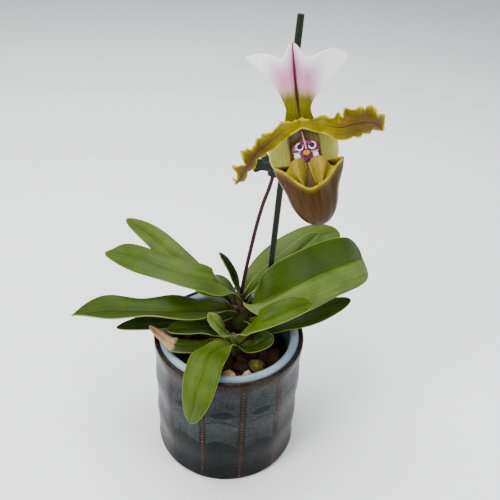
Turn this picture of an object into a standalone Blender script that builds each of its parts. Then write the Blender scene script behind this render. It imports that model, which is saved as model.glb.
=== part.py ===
"""Slipper orchid in a glazed pot: one bloom on a staked stem above a fan of strap leaves.

Run with: blender --background --python part.py
Metres, +Z up. The origin is the centre of the pot's foot, on the surface that it stands on.
+X is to the right of the bloom's front view, and -Y is the side that the bloom faces.
"""

import math
import random

import bmesh
import bpy
from mathutils import Matrix, Vector, noise

MM = 0.001
FIT_GAP = 0.0003

# Glazed cover pot
POT_HEIGHT = 88.0 * MM
POT_RIM_RADIUS = 47.5 * MM
POT_FOOT_RADIUS = 47.0 * MM
POT_WALL = 3.4 * MM
POT_LIP_INNER_RADIUS = 44.9 * MM
POT_FLOOR = 5.0 * MM
POT_STEPS = 36

# Nursery pot that hangs its rolled rim inside the cover pot's lip
LINER_RIM_RADIUS = 44.6 * MM
LINER_ROLL = 2.8 * MM
LINER_TOP = 88.8 * MM
LINER_WALL = 1.2 * MM
LINER_FOOT_RADIUS = 33.0 * MM
LINER_SHOULDER_RADIUS = 41.0 * MM
LINER_STEPS = 32

# Bark that fills the nursery pot
BARK_TOP = 76.0 * MM
BARK_CHIPS = 26
BARK_SEED = 4

# Two growths, each with its own short stem, called a crown here
MAIN_CROWN = Vector((6.0, 21.0, 0.0)) * MM
FRONT_CROWN = Vector((3.0, -5.0, 0.0)) * MM

CROWN_FOOT = 66.0

# Pale stones and a mossy lump on the bark: centre, half sizes (mm), noise seed and turn
STONES = {
    "pale_stone_left": ((1.5, -31.5, 79.5), (4.6, 4.0, 3.6), 2.0, 0.4),
    "pale_stone_right": ((12.5, -31.0, 79.0), (5.0, 4.0, 3.8), 5.0, 0.9),
    "mossy_stone": ((18.5, -21.5, 80.0), (6.4, 5.4, 4.2), 9.0, 2.1),
}

# Stake and flower stem
STAKE_FOOT = Vector((20.2, 20.0, 14.0)) * MM
STAKE_TOP = Vector((29.4, 20.0, 277.3)) * MM
STAKE_RADIUS = 1.85 * MM
STEM_RADIUS = 1.15 * MM

# Bloom: its centre, and the way its front faces
BLOOM_CENTRE = Vector((35.0, -22.0, 225.0)) * MM
BLOOM_TURN = math.radians(6.0)
BLOOM_LIFT = math.radians(10.0)
BLOOM_LEAN = math.radians(10.0)
PETAL_THICKNESS = 0.8 * MM
DORSAL_FOOT = 5.6

LEAF_THICKNESS = 1.1 * MM
LEAF_FOOT_HALF = 3.0 * MM
LEAF_ROWS = 13
LEAF_COLUMNS = 4

# Each leaf: midrib points from its foot to its tip (mm), full width (mm), how far the blade
# leans about its midrib, how far its halves fold up, how blunt its tip is, and its edge wave (mm)
LEAVES = {
    "leaf_left_back": dict(
        midrib=[(-1.0, 22.4, 86), (-8, 21, 101), (-19, 21, 109), (-35, 32, 118), (-55, 50, 124), (-78, 75, 122)],
        width=17, lean=-14, fold=12, blunt=2.4, wave=0.4,
    ),
    "leaf_left_upper": dict(
        midrib=[(0.2, 20.2, 97), (-5, 17.5, 109), (-12, 13, 117), (-28, 12, 121.5), (-52, 20, 124),
                (-71, 32, 121), (-85, 41, 116)],
        width=21.5, lean=-14, fold=7, blunt=2.2, wave=1.3,
    ),
    "leaf_left_lower": dict(
        midrib=[(0.4, 16.8, 86), (-13, 7, 97), (-34, -2, 103), (-55, -3, 103), (-78, 0, 99), (-100, 1, 93)],
        width=24, lean=0, fold=24, blunt=1.7, wave=1.2,
    ),
    "leaf_left_shaded": dict(
        midrib=[(0.4, 18.8, 81.5), (-15, 9, 85.5), (-32, 4, 90.5), (-50, 0, 91.6), (-71, -4, 89)],
        width=16, lean=0, fold=10, blunt=1.8, wave=0.3,
    ),
    "leaf_left_short": dict(
        midrib=[(-2.2, -3.1, 83), (-9, -2, 89), (-18, -4, 92.5), (-28, -8, 95), (-38, -10, 94.5)],
        width=14, lean=0, fold=14, blunt=2.0, wave=0.3,
    ),
    "leaf_dry_tip": dict(
        midrib=[(-2.4, -7.2, 81.5), (-10, -11.5, 85.5), (-20, -17, 89), (-31, -20.5, 92.4), (-41, -16, 93.6),
                (-50, -8, 93.2)],
        width=12.5, lean=0, fold=4, blunt=1.7, wave=0.3,
    ),
    "leaf_front_hanging": dict(
        midrib=[(2.2, -10.4, 82), (-4, -19, 91), (-10.5, -36, 97.5), (-13.5, -51, 94.5), (-16, -57.5, 84),
                (-19, -59, 69)],
        width=21, lean=4, fold=5, blunt=1.9, wave=0.6,
    ),
    "leaf_young": dict(
        midrib=[(-1.6, -5.9, 88), (-4, -7, 94), (-8, -6.5, 99.5), (-13, -3, 104)],
        width=8.6, lean=-20, fold=8, blunt=2.0, wave=0.1,
    ),
    "leaf_right_small": dict(
        midrib=[(8.7, -6.8, 85), (14.5, -11.8, 100.5), (21.8, -13.8, 109.8), (35.7, -11, 116.8), (49.2, -3, 116.2)],
        width=17.5, lean=10, fold=18, blunt=2.4, wave=0.4,
    ),
    "leaf_right_large": dict(
        midrib=[(11.7, 16.8, 92), (16, 9, 103.4), (24, 5.8, 110.6), (36, 9.6, 117), (48, 17, 120), (61, 28, 120),
                (77, 41, 118), (88, 57, 112)],
        width=38, lean=46, fold=16, blunt=4.5, wave=0.6, far_swell=0.3,
    ),
    "leaf_right_back": dict(
        midrib=[(9.0, 26.5, 92), (17, 37, 104), (33.8, 47, 116), (52.4, 59, 122.6), (72, 76, 121)],
        width=27, lean=12, fold=12, blunt=2.8, wave=0.5,
    ),
    "leaf_right_inner": dict(
        midrib=[(10.8, 22.8, 99), (19, 29.4, 107), (34.2, 37.3, 117.8), (47.4, 47.4, 125.9), (56.4, 57.4, 128.9)],
        width=13, lean=22, fold=8, blunt=2.0, wave=0.2,
    ),
    "leaf_right_low": dict(
        midrib=[(10.6, 16.9, 80), (22, 8.5, 88.5), (35, 9, 93.5), (54, 14, 96), (79, 28, 97)],
        width=20, lean=8, fold=2, blunt=1.7, wave=0.3,
    ),
    "leaf_right_tiny": dict(
        midrib=[(8.2, -8.1, 80.5), (15, -13, 88), (21, -12.5, 92), (27, -9, 94)],
        width=12, lean=12, fold=8, blunt=3.0, wave=0.2,
    ),
    "leaf_back_small": dict(
        midrib=[(3.4, 25.5, 103), (1.0, 27, 113), (-3, 26.5, 123), (-9, 26, 130)],
        width=9, lean=-10, fold=34, blunt=1.5, wave=0.0,
    ),
}


def clear_scene():
    """Removes every object that the file opened with."""
    for thing in list(bpy.data.objects):
        bpy.data.objects.remove(thing)


def collection(name):
    """A new collection in the scene."""
    made = bpy.data.collections.new(name)
    bpy.context.scene.collection.children.link(made)
    return made


def material(name, colour, roughness, metallic=0.0):
    """A Principled material of one colour."""
    made = bpy.data.materials.new(name)
    made.use_nodes = True
    shader = made.node_tree.nodes["Principled BSDF"]
    shader.inputs["Base Color"].default_value = (*colour, 1.0)
    shader.inputs["Roughness"].default_value = roughness
    shader.inputs["Metallic"].default_value = metallic
    return made


def add_object(name, mesh, finish, group):
    """Wraps a mesh in a named object of one material."""
    made = bpy.data.objects.new(name, mesh)
    if finish:
        mesh.materials.append(finish)
    group.objects.link(made)
    return made


def smooth(value):
    """0 to 1 with level ends."""
    value = min(1.0, max(0.0, value))
    return value * value * (3.0 - 2.0 * value)


def spline_point(points, share):
    """A point on the Catmull-Rom curve through points, share 0 to 1 of the way along."""
    last = len(points) - 1
    place = min(share * last, last - 1e-9)
    index = int(place)
    t = place - index
    p1, p2 = points[index], points[index + 1]
    p0 = points[index - 1] if index > 0 else p1 * 2 - p2
    p3 = points[index + 2] if index + 2 <= last else p2 * 2 - p1
    return 0.5 * (
        p1 * 2 + (p2 - p0) * t + (p0 * 2 - p1 * 5 + p2 * 4 - p3) * t * t + (p1 * 3 - p0 - p2 * 3 + p3) * t ** 3
    )


def in_metres(points):
    """Vectors in metres from millimetre triples."""
    return [Vector(p) * MM for p in points]


def sheet_mesh(name, place, rows, columns):
    """A grid whose every point is put at place(u, v), u from 0 to 1 along and v from -1 to 1 across."""
    grid = bmesh.new()
    bmesh.ops.create_grid(grid, x_segments=rows, y_segments=columns, size=0.5)
    for vertex in grid.verts:
        vertex.co = place(vertex.co.x + 0.5, vertex.co.y * 2.0)
    bmesh.ops.remove_doubles(grid, verts=grid.verts, dist=1e-6)
    bmesh.ops.triangulate(grid, faces=grid.faces)
    mesh = bpy.data.meshes.new(name)
    grid.to_mesh(mesh)
    grid.free()
    mesh.shade_smooth()
    return mesh


def thicken(thing, thickness, offset=0.0):
    """Gives an open sheet its thickness."""
    solid = thing.modifiers.new("thickness", "SOLIDIFY")
    solid.thickness = thickness
    solid.offset = offset
    return thing


def turned(name, profile, steps, finish, group):
    """A turned solid: the profile runs from the axis up the inside, and down the outside to the axis."""
    mesh = bpy.data.meshes.new(name)
    edges = [(i, i + 1) for i in range(len(profile) - 1)]
    mesh.from_pydata([(r, 0.0, z) for r, z in profile], edges, [])
    made = add_object(name, mesh, finish, group)
    screw = made.modifiers.new("turn", "SCREW")
    screw.steps = steps
    screw.render_steps = steps
    screw.use_merge_vertices = True
    screw.merge_threshold = 0.00001
    screw.use_smooth_shade = True
    return made


def tube(name, points, radii, sides, finish, group):
    """A round rod along points, with one radius for each, as a closed mesh."""
    curve = bpy.data.curves.new(name, "CURVE")
    curve.dimensions = "3D"
    curve.bevel_depth = 1.0
    curve.bevel_resolution = max(0, sides // 2 - 2)
    curve.use_fill_caps = True
    line = curve.splines.new("POLY")
    line.points.add(len(points) - 1)
    for node, point, radius in zip(line.points, points, radii):
        node.co = (*point, 1.0)
        node.radius = radius
    shell = bpy.data.objects.new(name, curve)
    group.objects.link(shell)
    bpy.context.view_layer.update()
    ready = shell.evaluated_get(bpy.context.evaluated_depsgraph_get())
    mesh = bpy.data.meshes.new_from_object(ready)
    bpy.data.objects.remove(shell)
    body = bmesh.new()
    body.from_mesh(mesh)
    bmesh.ops.remove_doubles(body, verts=body.verts, dist=1e-6)
    body.to_mesh(mesh)
    body.free()
    mesh.materials.clear()
    mesh.name = name
    mesh.shade_smooth()
    return add_object(name, mesh, finish, group)


def apply_modifiers(thing):
    """Replaces a thing's mesh by its evaluated one."""
    bpy.context.view_layer.update()
    ready = thing.evaluated_get(bpy.context.evaluated_depsgraph_get())
    mesh = bpy.data.meshes.new_from_object(ready)
    thing.modifiers.clear()
    thing.data = mesh
    return thing


def join_all(base, extras, cut=False, solver="EXACT"):
    """Unites extras with base, or cuts them from it, in one Boolean, and removes them."""
    tools = bpy.data.collections.new(base.name + "_tools")
    bpy.context.scene.collection.children.link(tools)
    for extra in extras:
        for holder in list(extra.users_collection):
            holder.objects.unlink(extra)
        tools.objects.link(extra)
    step = base.modifiers.new("join", "BOOLEAN")
    step.operation = "DIFFERENCE" if cut else "UNION"
    step.operand_type = "COLLECTION"
    step.collection = tools
    step.solver = solver
    apply_modifiers(base)
    for extra in extras:
        bpy.data.objects.remove(extra)
    bpy.data.collections.remove(tools)
    tidy = bmesh.new()
    tidy.from_mesh(base.data)
    bmesh.ops.dissolve_degenerate(tidy, dist=0.00002, edges=tidy.edges)
    bmesh.ops.triangulate(tidy, faces=tidy.faces)
    bmesh.ops.dissolve_degenerate(tidy, dist=0.00002, edges=tidy.edges)
    tidy.to_mesh(base.data)
    tidy.free()
    return base


def side_profile(height_share):
    """Outer radius of the cover pot at a share of its height: three shallow bands, softly waisted between."""
    taper = POT_FOOT_RADIUS + (POT_RIM_RADIUS - POT_FOOT_RADIUS) * height_share
    band = 0.35 * MM * (math.cos(height_share * 3.0 * 2.0 * math.pi) - 1.0)
    return taper + band * smooth((1.0 - height_share) * 8.0)


def make_pot(finish, group):
    """Glazed cover pot: a straight cup with a rounded lip and a soft foot edge."""
    foot_round = 3.0 * MM
    lip_round = 1.3 * MM
    inner = POT_LIP_INNER_RADIUS
    profile = [(0.0, POT_FLOOR), (inner - 4.0 * MM, POT_FLOOR), (inner - 1.0 * MM, POT_FLOOR + 3.0 * MM)]
    profile += [(inner, POT_HEIGHT - 8.0 * MM), (inner, POT_HEIGHT - lip_round)]
    middle = (inner + POT_RIM_RADIUS) / 2.0
    for k in range(1, 4):
        angle = math.pi * (1.0 - k / 4.0)
        profile.append(
            (middle + math.cos(angle) * lip_round, POT_HEIGHT - lip_round + math.sin(angle) * lip_round)
        )
    bands = 12
    low, high = foot_round, POT_HEIGHT - lip_round
    for k in range(bands + 1):
        share = 1.0 - k / bands
        z = low + (high - low) * share
        profile.append((side_profile(z / POT_HEIGHT), z))
    profile += [(POT_FOOT_RADIUS - foot_round * 0.35, foot_round * 0.3), (POT_FOOT_RADIUS - foot_round, 0.0)]
    profile.append((0.0, 0.0))
    return turned("cover_pot", profile, POT_STEPS, finish, group)


def liner_profile():
    """Nursery pot: floor, tapered wall and the rolled rim that hangs over it."""
    roll_centre = Vector((LINER_RIM_RADIUS - LINER_ROLL, LINER_TOP - LINER_ROLL))
    foot = POT_FLOOR + FIT_GAP
    inside = LINER_SHOULDER_RADIUS - LINER_WALL
    points = [(0.0, foot + LINER_WALL), (LINER_FOOT_RADIUS - LINER_WALL, foot + LINER_WALL)]
    points.append((inside - 1.6 * MM, LINER_TOP - 4.0 * LINER_ROLL))
    start, stop, arc_steps = math.radians(200.0), math.radians(-50.0), 8
    for k in range(arc_steps + 1):
        angle = start + (stop - start) * k / arc_steps
        points.append(
            (roll_centre.x + math.cos(angle) * LINER_ROLL, roll_centre.y + math.sin(angle) * LINER_ROLL)
        )
    points.append((LINER_SHOULDER_RADIUS - 0.6 * MM, LINER_TOP - 3.2 * LINER_ROLL))
    points += [(LINER_FOOT_RADIUS, foot), (0.0, foot)]
    return points


def make_liner(finish, group):
    """Plastic nursery pot with drain holes through its floor."""
    liner = apply_modifiers(turned("nursery_pot", liner_profile(), LINER_STEPS, finish, group))
    holes = []
    hole_count, hole_radius, hole_ring = 6, 3.5 * MM, 21.0 * MM
    for k in range(hole_count):
        angle = 2.0 * math.pi * k / hole_count
        place = (math.cos(angle) * hole_ring, math.sin(angle) * hole_ring, POT_FLOOR)
        bpy.ops.mesh.primitive_cylinder_add(vertices=12, radius=hole_radius, depth=8.0 * MM, location=place)
        holes.append(bpy.context.object)
    return join_all(liner, holes, cut=True)


def make_crown(name, centre, profile, finish, group):
    """A short stem wrapped in old leaf bases, straight-sided where it stands in the bark."""
    crown = apply_modifiers(turned(name, [(r * MM, z * MM) for r, z in profile], 12, finish, group))
    crown.data.transform(Matrix.Translation(centre))
    return crown


def hole_tool(foot, top, radius, group):
    """A round cutter between two points, for a plain hole."""
    return tube("hole", [foot, top], [radius] * 2, 12, None, group)


def rough_stone(name, centre, size, seed, turn, finish, group, room=0.0):
    """An angular lump: a coarse ball pushed about by noise and flattened, or the larger room for it."""
    ball = bmesh.new()
    bmesh.ops.create_icosphere(ball, subdivisions=1, radius=1.0)
    spin = Matrix.Rotation(turn, 3, "Z")
    for vertex in ball.verts:
        push = 1.0 + 0.28 * noise.noise(vertex.co * 1.7 + Vector((seed, 0.0, 0.0)))
        stretch = Vector([side * push + room for side in size])
        local = Vector([a * b for a, b in zip(vertex.co, stretch)])
        vertex.co = spin @ (local * MM) + Vector(centre) * MM
    mesh = bpy.data.meshes.new(name)
    ball.to_mesh(mesh)
    ball.free()
    return add_object(name, mesh, finish, group)


def bark_chip(draw, finish, group):
    """One chunk of bark: a box with knocked corners, half sunk in the bark's top."""
    length, width, depth = draw.uniform(9.0, 14.0), draw.uniform(6.0, 9.5), draw.uniform(4.0, 6.5)
    radius = (draw.random() ** 0.5) * 29.5
    angle = draw.uniform(0.0, 2.0 * math.pi)
    swing = draw.uniform(-0.5, 0.5) if radius > 24.0 else draw.uniform(0.0, math.pi)
    tilt = draw.uniform(-0.3, 0.3), draw.uniform(-0.3, 0.3), angle + math.pi / 2.0 + swing
    box = bmesh.new()
    bmesh.ops.create_cube(box, size=1.0)
    for vertex in box.verts:
        vertex.co.x *= length * draw.uniform(0.8, 1.1)
        vertex.co.y *= width * draw.uniform(0.75, 1.1)
        vertex.co.z *= depth * draw.uniform(0.8, 1.1)
    lift = BARK_TOP / MM + draw.uniform(-1.4, 1.0)
    place = Matrix.Translation(Vector((radius * math.cos(angle), radius * math.sin(angle), lift)) * MM)
    spin = Matrix.Rotation(tilt[2], 4, "Z") @ Matrix.Rotation(tilt[0], 4, "X") @ Matrix.Rotation(tilt[1], 4, "Y")
    mesh = bpy.data.meshes.new("chip")
    box.to_mesh(mesh)
    box.free()
    mesh.transform(place @ spin @ Matrix.Scale(MM, 4))
    return add_object("chip", mesh, finish, group)


def make_bark(finish, group, rooms):
    """Bark mix: a core that fills the nursery pot, its top covered in chunks, with room for what stands in it."""
    foot = POT_FLOOR + FIT_GAP + LINER_WALL + FIT_GAP
    low_radius = LINER_FOOT_RADIUS - LINER_WALL - 1.0 * MM
    high_radius = LINER_SHOULDER_RADIUS - LINER_WALL - 2.8 * MM
    profile = [(0.0, BARK_TOP), (high_radius, BARK_TOP), (low_radius, foot), (0.0, foot)]
    bark = apply_modifiers(turned("bark_mix", profile, 28, finish, group))
    draw = random.Random(BARK_SEED)
    chips = [bark_chip(draw, finish, group) for _ in range(BARK_CHIPS)]
    bark = join_all(bark, chips)
    return join_all(bark, rooms, cut=True)


def leaf_width(u, blunt, foot_share, swell):
    """Share of a leaf's full width at u: narrow at the foot, widest past the middle, rounded to the tip."""
    foot = foot_share + (1.0 - foot_share) * smooth(u / swell)
    past = max(0.0, (u - 0.5) / 0.5)
    tip = max(0.0, 1.0 - past ** blunt) ** (0.5 + 0.3 / blunt)
    return max(0.05, foot * tip)


def leaf_place(leaf):
    """place(u, v) for one leaf's blade, folded up along its midrib and leaning about it."""
    points = in_metres(leaf["midrib"])
    half = leaf["width"] * MM / 2.0
    lean, fold = math.radians(leaf["lean"]), math.radians(leaf["fold"])
    foot_fold = math.radians(40.0)
    foot_share = min(0.8, LEAF_FOOT_HALF / half)

    def place(u, v):
        u = 1.0 - (1.0 - u) ** 1.25
        centre = spline_point(points, u)
        along = (spline_point(points, min(1.0, u + 0.01)) - spline_point(points, max(0.0, u - 0.01))).normalized()
        side = along.cross(Vector((0.0, 0.0, 1.0))).normalized()
        face = side.cross(along)
        settle = smooth(u / 0.36)
        turn = lean * settle
        side, face = side * math.cos(turn) - face * math.sin(turn), face * math.cos(turn) + side * math.sin(turn)
        angle = foot_fold + (fold - foot_fold) * settle
        swell = leaf["far_swell"] if v < 0.0 and "far_swell" in leaf else 0.42
        reach = half * leaf_width(u, leaf["blunt"], foot_share, swell)
        lift = reach * abs(v) * math.sin(angle) - 0.12 * reach * v * v * settle
        ripple = leaf["wave"] * MM * v * v * math.sin(u * 15.0 + (1.3 if v > 0 else 0.0)) * settle
        return centre + side * (v * reach * math.cos(angle)) + face * (lift + ripple)

    return place


def make_leaf(name, leaf, finish, group):
    """One strap leaf."""
    mesh = sheet_mesh(name, leaf_place(leaf), LEAF_ROWS, LEAF_COLUMNS)
    return thicken(add_object(name, mesh, finish, group), LEAF_THICKNESS)


def bloom_matrix():
    """Turns the bloom's own millimetres (x right, y up, z to the front) into place."""
    front = Vector((
        math.sin(BLOOM_TURN) * math.cos(BLOOM_LIFT),
        -math.cos(BLOOM_TURN) * math.cos(BLOOM_LIFT),
        math.sin(BLOOM_LIFT),
    ))
    level = Vector((math.cos(BLOOM_TURN), math.sin(BLOOM_TURN), 0.0))
    upright = front.cross(level)
    right = level * math.cos(BLOOM_LEAN) + upright * math.sin(BLOOM_LEAN)
    up = upright * math.cos(BLOOM_LEAN) - level * math.sin(BLOOM_LEAN)
    turn = Matrix((right, up, front)).transposed().to_4x4()
    return Matrix.Translation(BLOOM_CENTRE) @ turn @ Matrix.Scale(MM, 4)


def in_bloom(place):
    """place(u, v) in the bloom's millimetres as a place in the part's metres."""
    matrix = bloom_matrix()
    return lambda u, v: matrix @ Vector(place(u, v))


def dorsal_sepal(u, v):
    """The upright sepal: a waisted base that spreads into two swept-back wings, with a point between."""
    away = abs(v)
    dip = -6.6 * smooth(away / 0.25) + 2.0 * smooth((away - 0.25) / 0.35) - 1.4 * smooth((away - 0.7) / 0.3)
    top = 49.2 + dip - 2.6 * v
    if v < 0.0:
        flare = 15.1 * max(0.0, (u - 0.36) / 0.64) ** 1.6
    else:
        flare = 20.8 * smooth((u - 0.42) / 0.58)
    half = 3.4 + 3.9 * smooth(u / 0.2) - 0.7 * smooth((u - 0.2) / 0.2) + flare
    y = DORSAL_FOOT + (top - DORSAL_FOOT) * u
    x = v * half - 0.7 - 1.4 * u
    arch = -4.5 + 10.5 * u * u - 1.2 * math.sin(math.pi * u)
    roll_back = 0.014 * (v * half) ** 2
    groove = 0.5 * math.exp(-((v * half) / 1.2) ** 2)
    return x, y, arch - roll_back - groove


def petal(side, droop, half_width, twist):
    """One side petal, bowed out, twisted along its length, its upper edge crisped in close ruffles."""
    def place(u, v):
        middle = spline_point(droop, u)
        ahead = spline_point(droop, min(1.0, u + 0.01)) - spline_point(droop, max(0.0, u - 0.01))
        across = Vector((-ahead.y, ahead.x, 0.0)).normalized() * side
        turn = math.radians(-18.0 + twist * smooth(u / 0.6))
        outward = Vector((0.0, 0.0, 1.0))
        across, outward = (
            across * math.cos(turn) + outward * math.sin(turn),
            outward * math.cos(turn) - across * math.sin(turn),
        )
        swell = 3.4 + (half_width - 3.4) * smooth((u - 0.15) / 0.5)
        half = swell * max(0.08, 1.0 - max(0.0, (u - 0.6) / 0.4) ** 2.4)
        edge = abs(v) ** 2.2
        ruffle = math.sin(u * 33.0 + side) * edge * (1.5 if v > 0 else 0.6) * smooth(u / 0.2)
        spread = 1.0 + (0.12 * math.sin(u * 47.0 + 1.0) * edge if v > 0 else 0.0)
        curl_back = -0.18 * half * v * v
        return middle + across * (v * half * spread) + outward * (ruffle + curl_back)
    return place


LEFT_PETAL = [Vector(p) for p in [(-1.5, 9.0, 0.0), (-9.6, 8.8, 1.6), (-18.3, 6.1, 3.6), (-24.6, 2.6, 4.6),
                                  (-29.8, -3.0, 4.5), (-33.8, -8.6, 3), (-36.6, -12.0, 1.5)]]
RIGHT_PETAL = [Vector(p) for p in [(-0.1, 9.0, 0.0), (8.5, 8.2, 1.8), (16.6, 8.0, 3.6), (22.5, 8.8, 4.2),
                                   (28.5, 8.6, 4.0), (34.0, 6.8, 2.6), (37.8, 2.2, 0)]]


def synsepal(u, v):
    """The two lower sepals, grown together into one pale shield behind the pouch, notched round the column."""
    half = 17.4 * (smooth(u / 0.2) * 0.45 + 0.55) * max(0.03, 1.0 - max(0.0, (u - 0.34) / 0.66) ** 1.5)
    x = v * half
    top = 0.15 + 5.4 * smooth((abs(x - 0.4) - 3.2) / 6.0)
    y = top + (-31.0 - top) * u
    z = -9.6 + 0.006 * x * x + 4.0 * u * u
    return x - 0.4, y, z


POUCH_FOOT = -37.0


def pouch_rim(turn):
    """Height and flare of the pouch's rim: a notch in front, an ear at each side and a raised back."""
    front = math.cos(turn)
    beside = abs(math.sin(turn))
    if front > 0.0:
        height = -16.4 + 10.0 * smooth(beside ** 1.3)
    else:
        height = -6.4 + 5.6 * smooth(-front)
    flare = 1.0 + 0.12 * beside ** 6
    return height, flare


def pouch(u, v):
    """The slipper: a bag that hangs from a flared rim, u from its foot to the rim and v once round."""
    turn = v * math.pi
    height, flare = pouch_rim(turn)
    y = POUCH_FOOT + (height - POUCH_FOOT) * u ** 1.35
    full = min(1.0, (y - POUCH_FOOT) / (-14.0 - POUCH_FOOT))
    swell = (1.0 - (1.0 - full) ** 2.3) ** 0.5
    if u <= 0.0:
        swell = 0.0
    half = 13.6 * swell * (1.0 + (flare - 1.0) * smooth((u - 0.55) / 0.45) * 1.5)
    depth = 9.6 * swell
    centre = 5.6 + 2.0 * (1.0 - full)
    back = 1.0 if math.cos(turn) > 0.0 else 1.02
    return -0.5 + half * math.sin(turn), y, centre + depth * math.cos(turn) * back


def pouch_lobe(side):
    """An inrolled side lobe of the lip: from inside the ear it curls across the mouth to the slit's edge."""
    def place(u, v):
        drop = (v + 1.0) / 2.0
        y = -4.7 - 12.4 * drop
        outer = 12.9 - 2.2 * drop
        inner = 0.55 + 4.6 * drop ** 1.2
        x = outer + (inner - outer) * u
        z = -1.2 + 6.4 * math.sin(u * math.pi * 0.55) + 1.2 * drop
        return -0.8 + side * x, y, z
    return place


def make_bloom(finishes, group):
    """The bloom's sepals, petals, pouch and column."""
    sheets = {
        "dorsal_sepal": (dorsal_sepal, 11, 12, finishes["sepal"]),
        "petal_left": (petal(-1.0, LEFT_PETAL, 4.9, 52.0), 28, 4, finishes["petal"]),
        "petal_right": (petal(1.0, RIGHT_PETAL, 7.2, 30.0), 28, 4, finishes["petal"]),
        "lower_sepal": (synsepal, 9, 10, finishes["lower_sepal"]),
    }
    for name, (place, rows, columns, finish) in sheets.items():
        mesh = sheet_mesh(name, in_bloom(place), rows, columns)
        thicken(add_object(name, mesh, finish, group), PETAL_THICKNESS)
    bag_mesh = sheet_mesh("pouch", in_bloom(pouch), 8, 20)
    bag = apply_modifiers(thicken(add_object("pouch", bag_mesh, finishes["pouch"], group), PETAL_THICKNESS))
    lobes = []
    for side in (-1.0, 1.0):
        mesh = sheet_mesh("lobe", in_bloom(pouch_lobe(side)), 6, 4)
        lobe = thicken(add_object("lobe", mesh, finishes["pouch"], group), PETAL_THICKNESS)
        lobes.append(apply_modifiers(lobe))
    join_all(bag, lobes)
    make_column(finishes["column"], group)


def ball_at(centre, size, finish, group):
    """A squashed ball in the bloom's millimetres."""
    body = bmesh.new()
    bmesh.ops.create_uvsphere(body, u_segments=8, v_segments=6, radius=1.0)
    mesh = bpy.data.meshes.new("ball")
    body.to_mesh(mesh)
    body.free()
    mesh.transform(bloom_matrix() @ Matrix.Translation(Vector(centre)) @ Matrix.Diagonal((*size, 1.0)))
    return add_object("ball", mesh, finish, group)


def ring_at(centre, radius, wire, finish, group):
    """A small curled rim in the bloom's millimetres, facing its front."""
    matrix = bloom_matrix()
    count = 10
    loop = [
        matrix @ (Vector(centre) + Vector((math.cos(a) * radius, math.sin(a) * radius, 0.0)))
        for a in (math.radians(-150.0 + 300.0 * k / count) for k in range(count + 1))
    ]
    return tube("rim", loop, [wire * MM] * len(loop), 6, finish, group)


def make_column(finish, group):
    """The column behind the lip's slit, with the shield-shaped staminode on its front."""
    matrix = bloom_matrix()
    spine = [(-0.8, 2.6, -9.8), (-0.8, 2.8, -5.0), (-0.8, 2.6, -0.5), (-0.9, 1.4, 3.2)]
    column = tube("column", [matrix @ Vector(p) for p in spine], [2.0 * MM, 2.1 * MM, 2.3 * MM, 2.2 * MM], 10,
                  finish, group)
    shield = ball_at((-0.9, 0.2, 3.6), (5.6, 4.8, 1.5), finish, group)
    boss = ball_at((-0.9, -0.2, 5.0), (1.3, 1.2, 1.0), finish, group)
    wings = [ball_at((-0.9 + side * 4.2, -2.2, 3.8), (1.9, 2.2, 1.2), finish, group) for side in (-1.0, 1.0)]
    rims = [ring_at((-0.9 + side * 2.9, 2.7, 4.7), 1.6, 0.5, finish, group) for side in (-1.0, 1.0)]
    return join_all(column, [shield, boss, *wings, *rims])


STEM_ROUTE = [(6.2, 20.2, 103.8), (8.2, 19.6, 120.0), (10.6, 18.6, 137.0), (13.4, 18.0, 155.0), (16.4, 18.2, 170.0),
              (19.8, 19.0, 182.0), (22.0, 19.6, 193.0), (22.6, 17.2, 202.0), (24.0, 12.4, 210.0)]


def make_stem(finish, group):
    """The hairy flower stem, from the fan's heart past the clip to the bract."""
    route = in_metres(STEM_ROUTE)
    points = [spline_point(route, k / 22.0) for k in range(23)]
    return tube("flower_stem", points, [STEM_RADIUS] * 23, 8, finish, group)


def make_ovary(finish, group):
    """The ribbed ovary: it rises from the bract and arches forward to the bloom's back."""
    matrix = bloom_matrix()
    end = matrix @ Vector((-0.8, 2.6, -10.1))
    before = matrix @ Vector((-0.8, 3.2, -16.0))
    start = Vector(STEM_ROUTE[-1]) * MM
    aim = (start - Vector(STEM_ROUTE[-2]) * MM).normalized()
    start = start + aim * FIT_GAP
    route = [start, start + aim * 7.0 * MM, (start + before) / 2.0 + Vector((0.0, 1.5 * MM, 5.5 * MM)), before, end]
    points = [spline_point(route, k / 14.0) for k in range(15)]
    radii = [(1.25 + 0.75 * math.sin(math.pi * min(1.0, k / 14.0 * 0.9 + 0.05))) * MM for k in range(15)]
    return tube("ovary", points, radii, 8, finish, group)


def bract(u, v):
    """The small sheath at the foot of the ovary, open at the front."""
    start = Vector(STEM_ROUTE[-2]) * MM
    aim = (Vector(STEM_ROUTE[-1]) - Vector(STEM_ROUTE[-2])).normalized()
    side = Vector((1.0, 0.0, 0.0))
    back = aim.cross(side).normalized()
    if back.y < 0.0:
        back = -back
    side = back.cross(aim)
    radius = (1.9 + 1.5 * smooth(u / 0.6)) * MM
    reach = math.radians(118.0) * max(0.06, 1.0 - smooth((u - 0.35) / 0.65) * 0.94)
    angle = v * reach
    spread = 1.0 + 0.7 * u * u
    around = side * math.sin(angle) * radius + back * math.cos(angle) * radius * spread
    return start + aim * (4.5 + 16.0 * u) * MM + around


def make_bract(finish, group):
    """One bract."""
    mesh = sheet_mesh("bract", bract, 7, 6)
    return thicken(add_object("bract", mesh, finish, group), 0.7 * MM)


def stake_centre(height):
    """The stake's centre line at a height."""
    share = (height - STAKE_FOOT.z) / (STAKE_TOP.z - STAKE_FOOT.z)
    return STAKE_FOOT.lerp(STAKE_TOP, share)


def make_stake(finish, group):
    """The green support stake, pushed down into the bark."""
    return tube("stake", [STAKE_FOOT, STAKE_TOP], [STAKE_RADIUS] * 2, 14, finish, group)


CLIP_HEIGHT = 193.0 * MM


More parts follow.
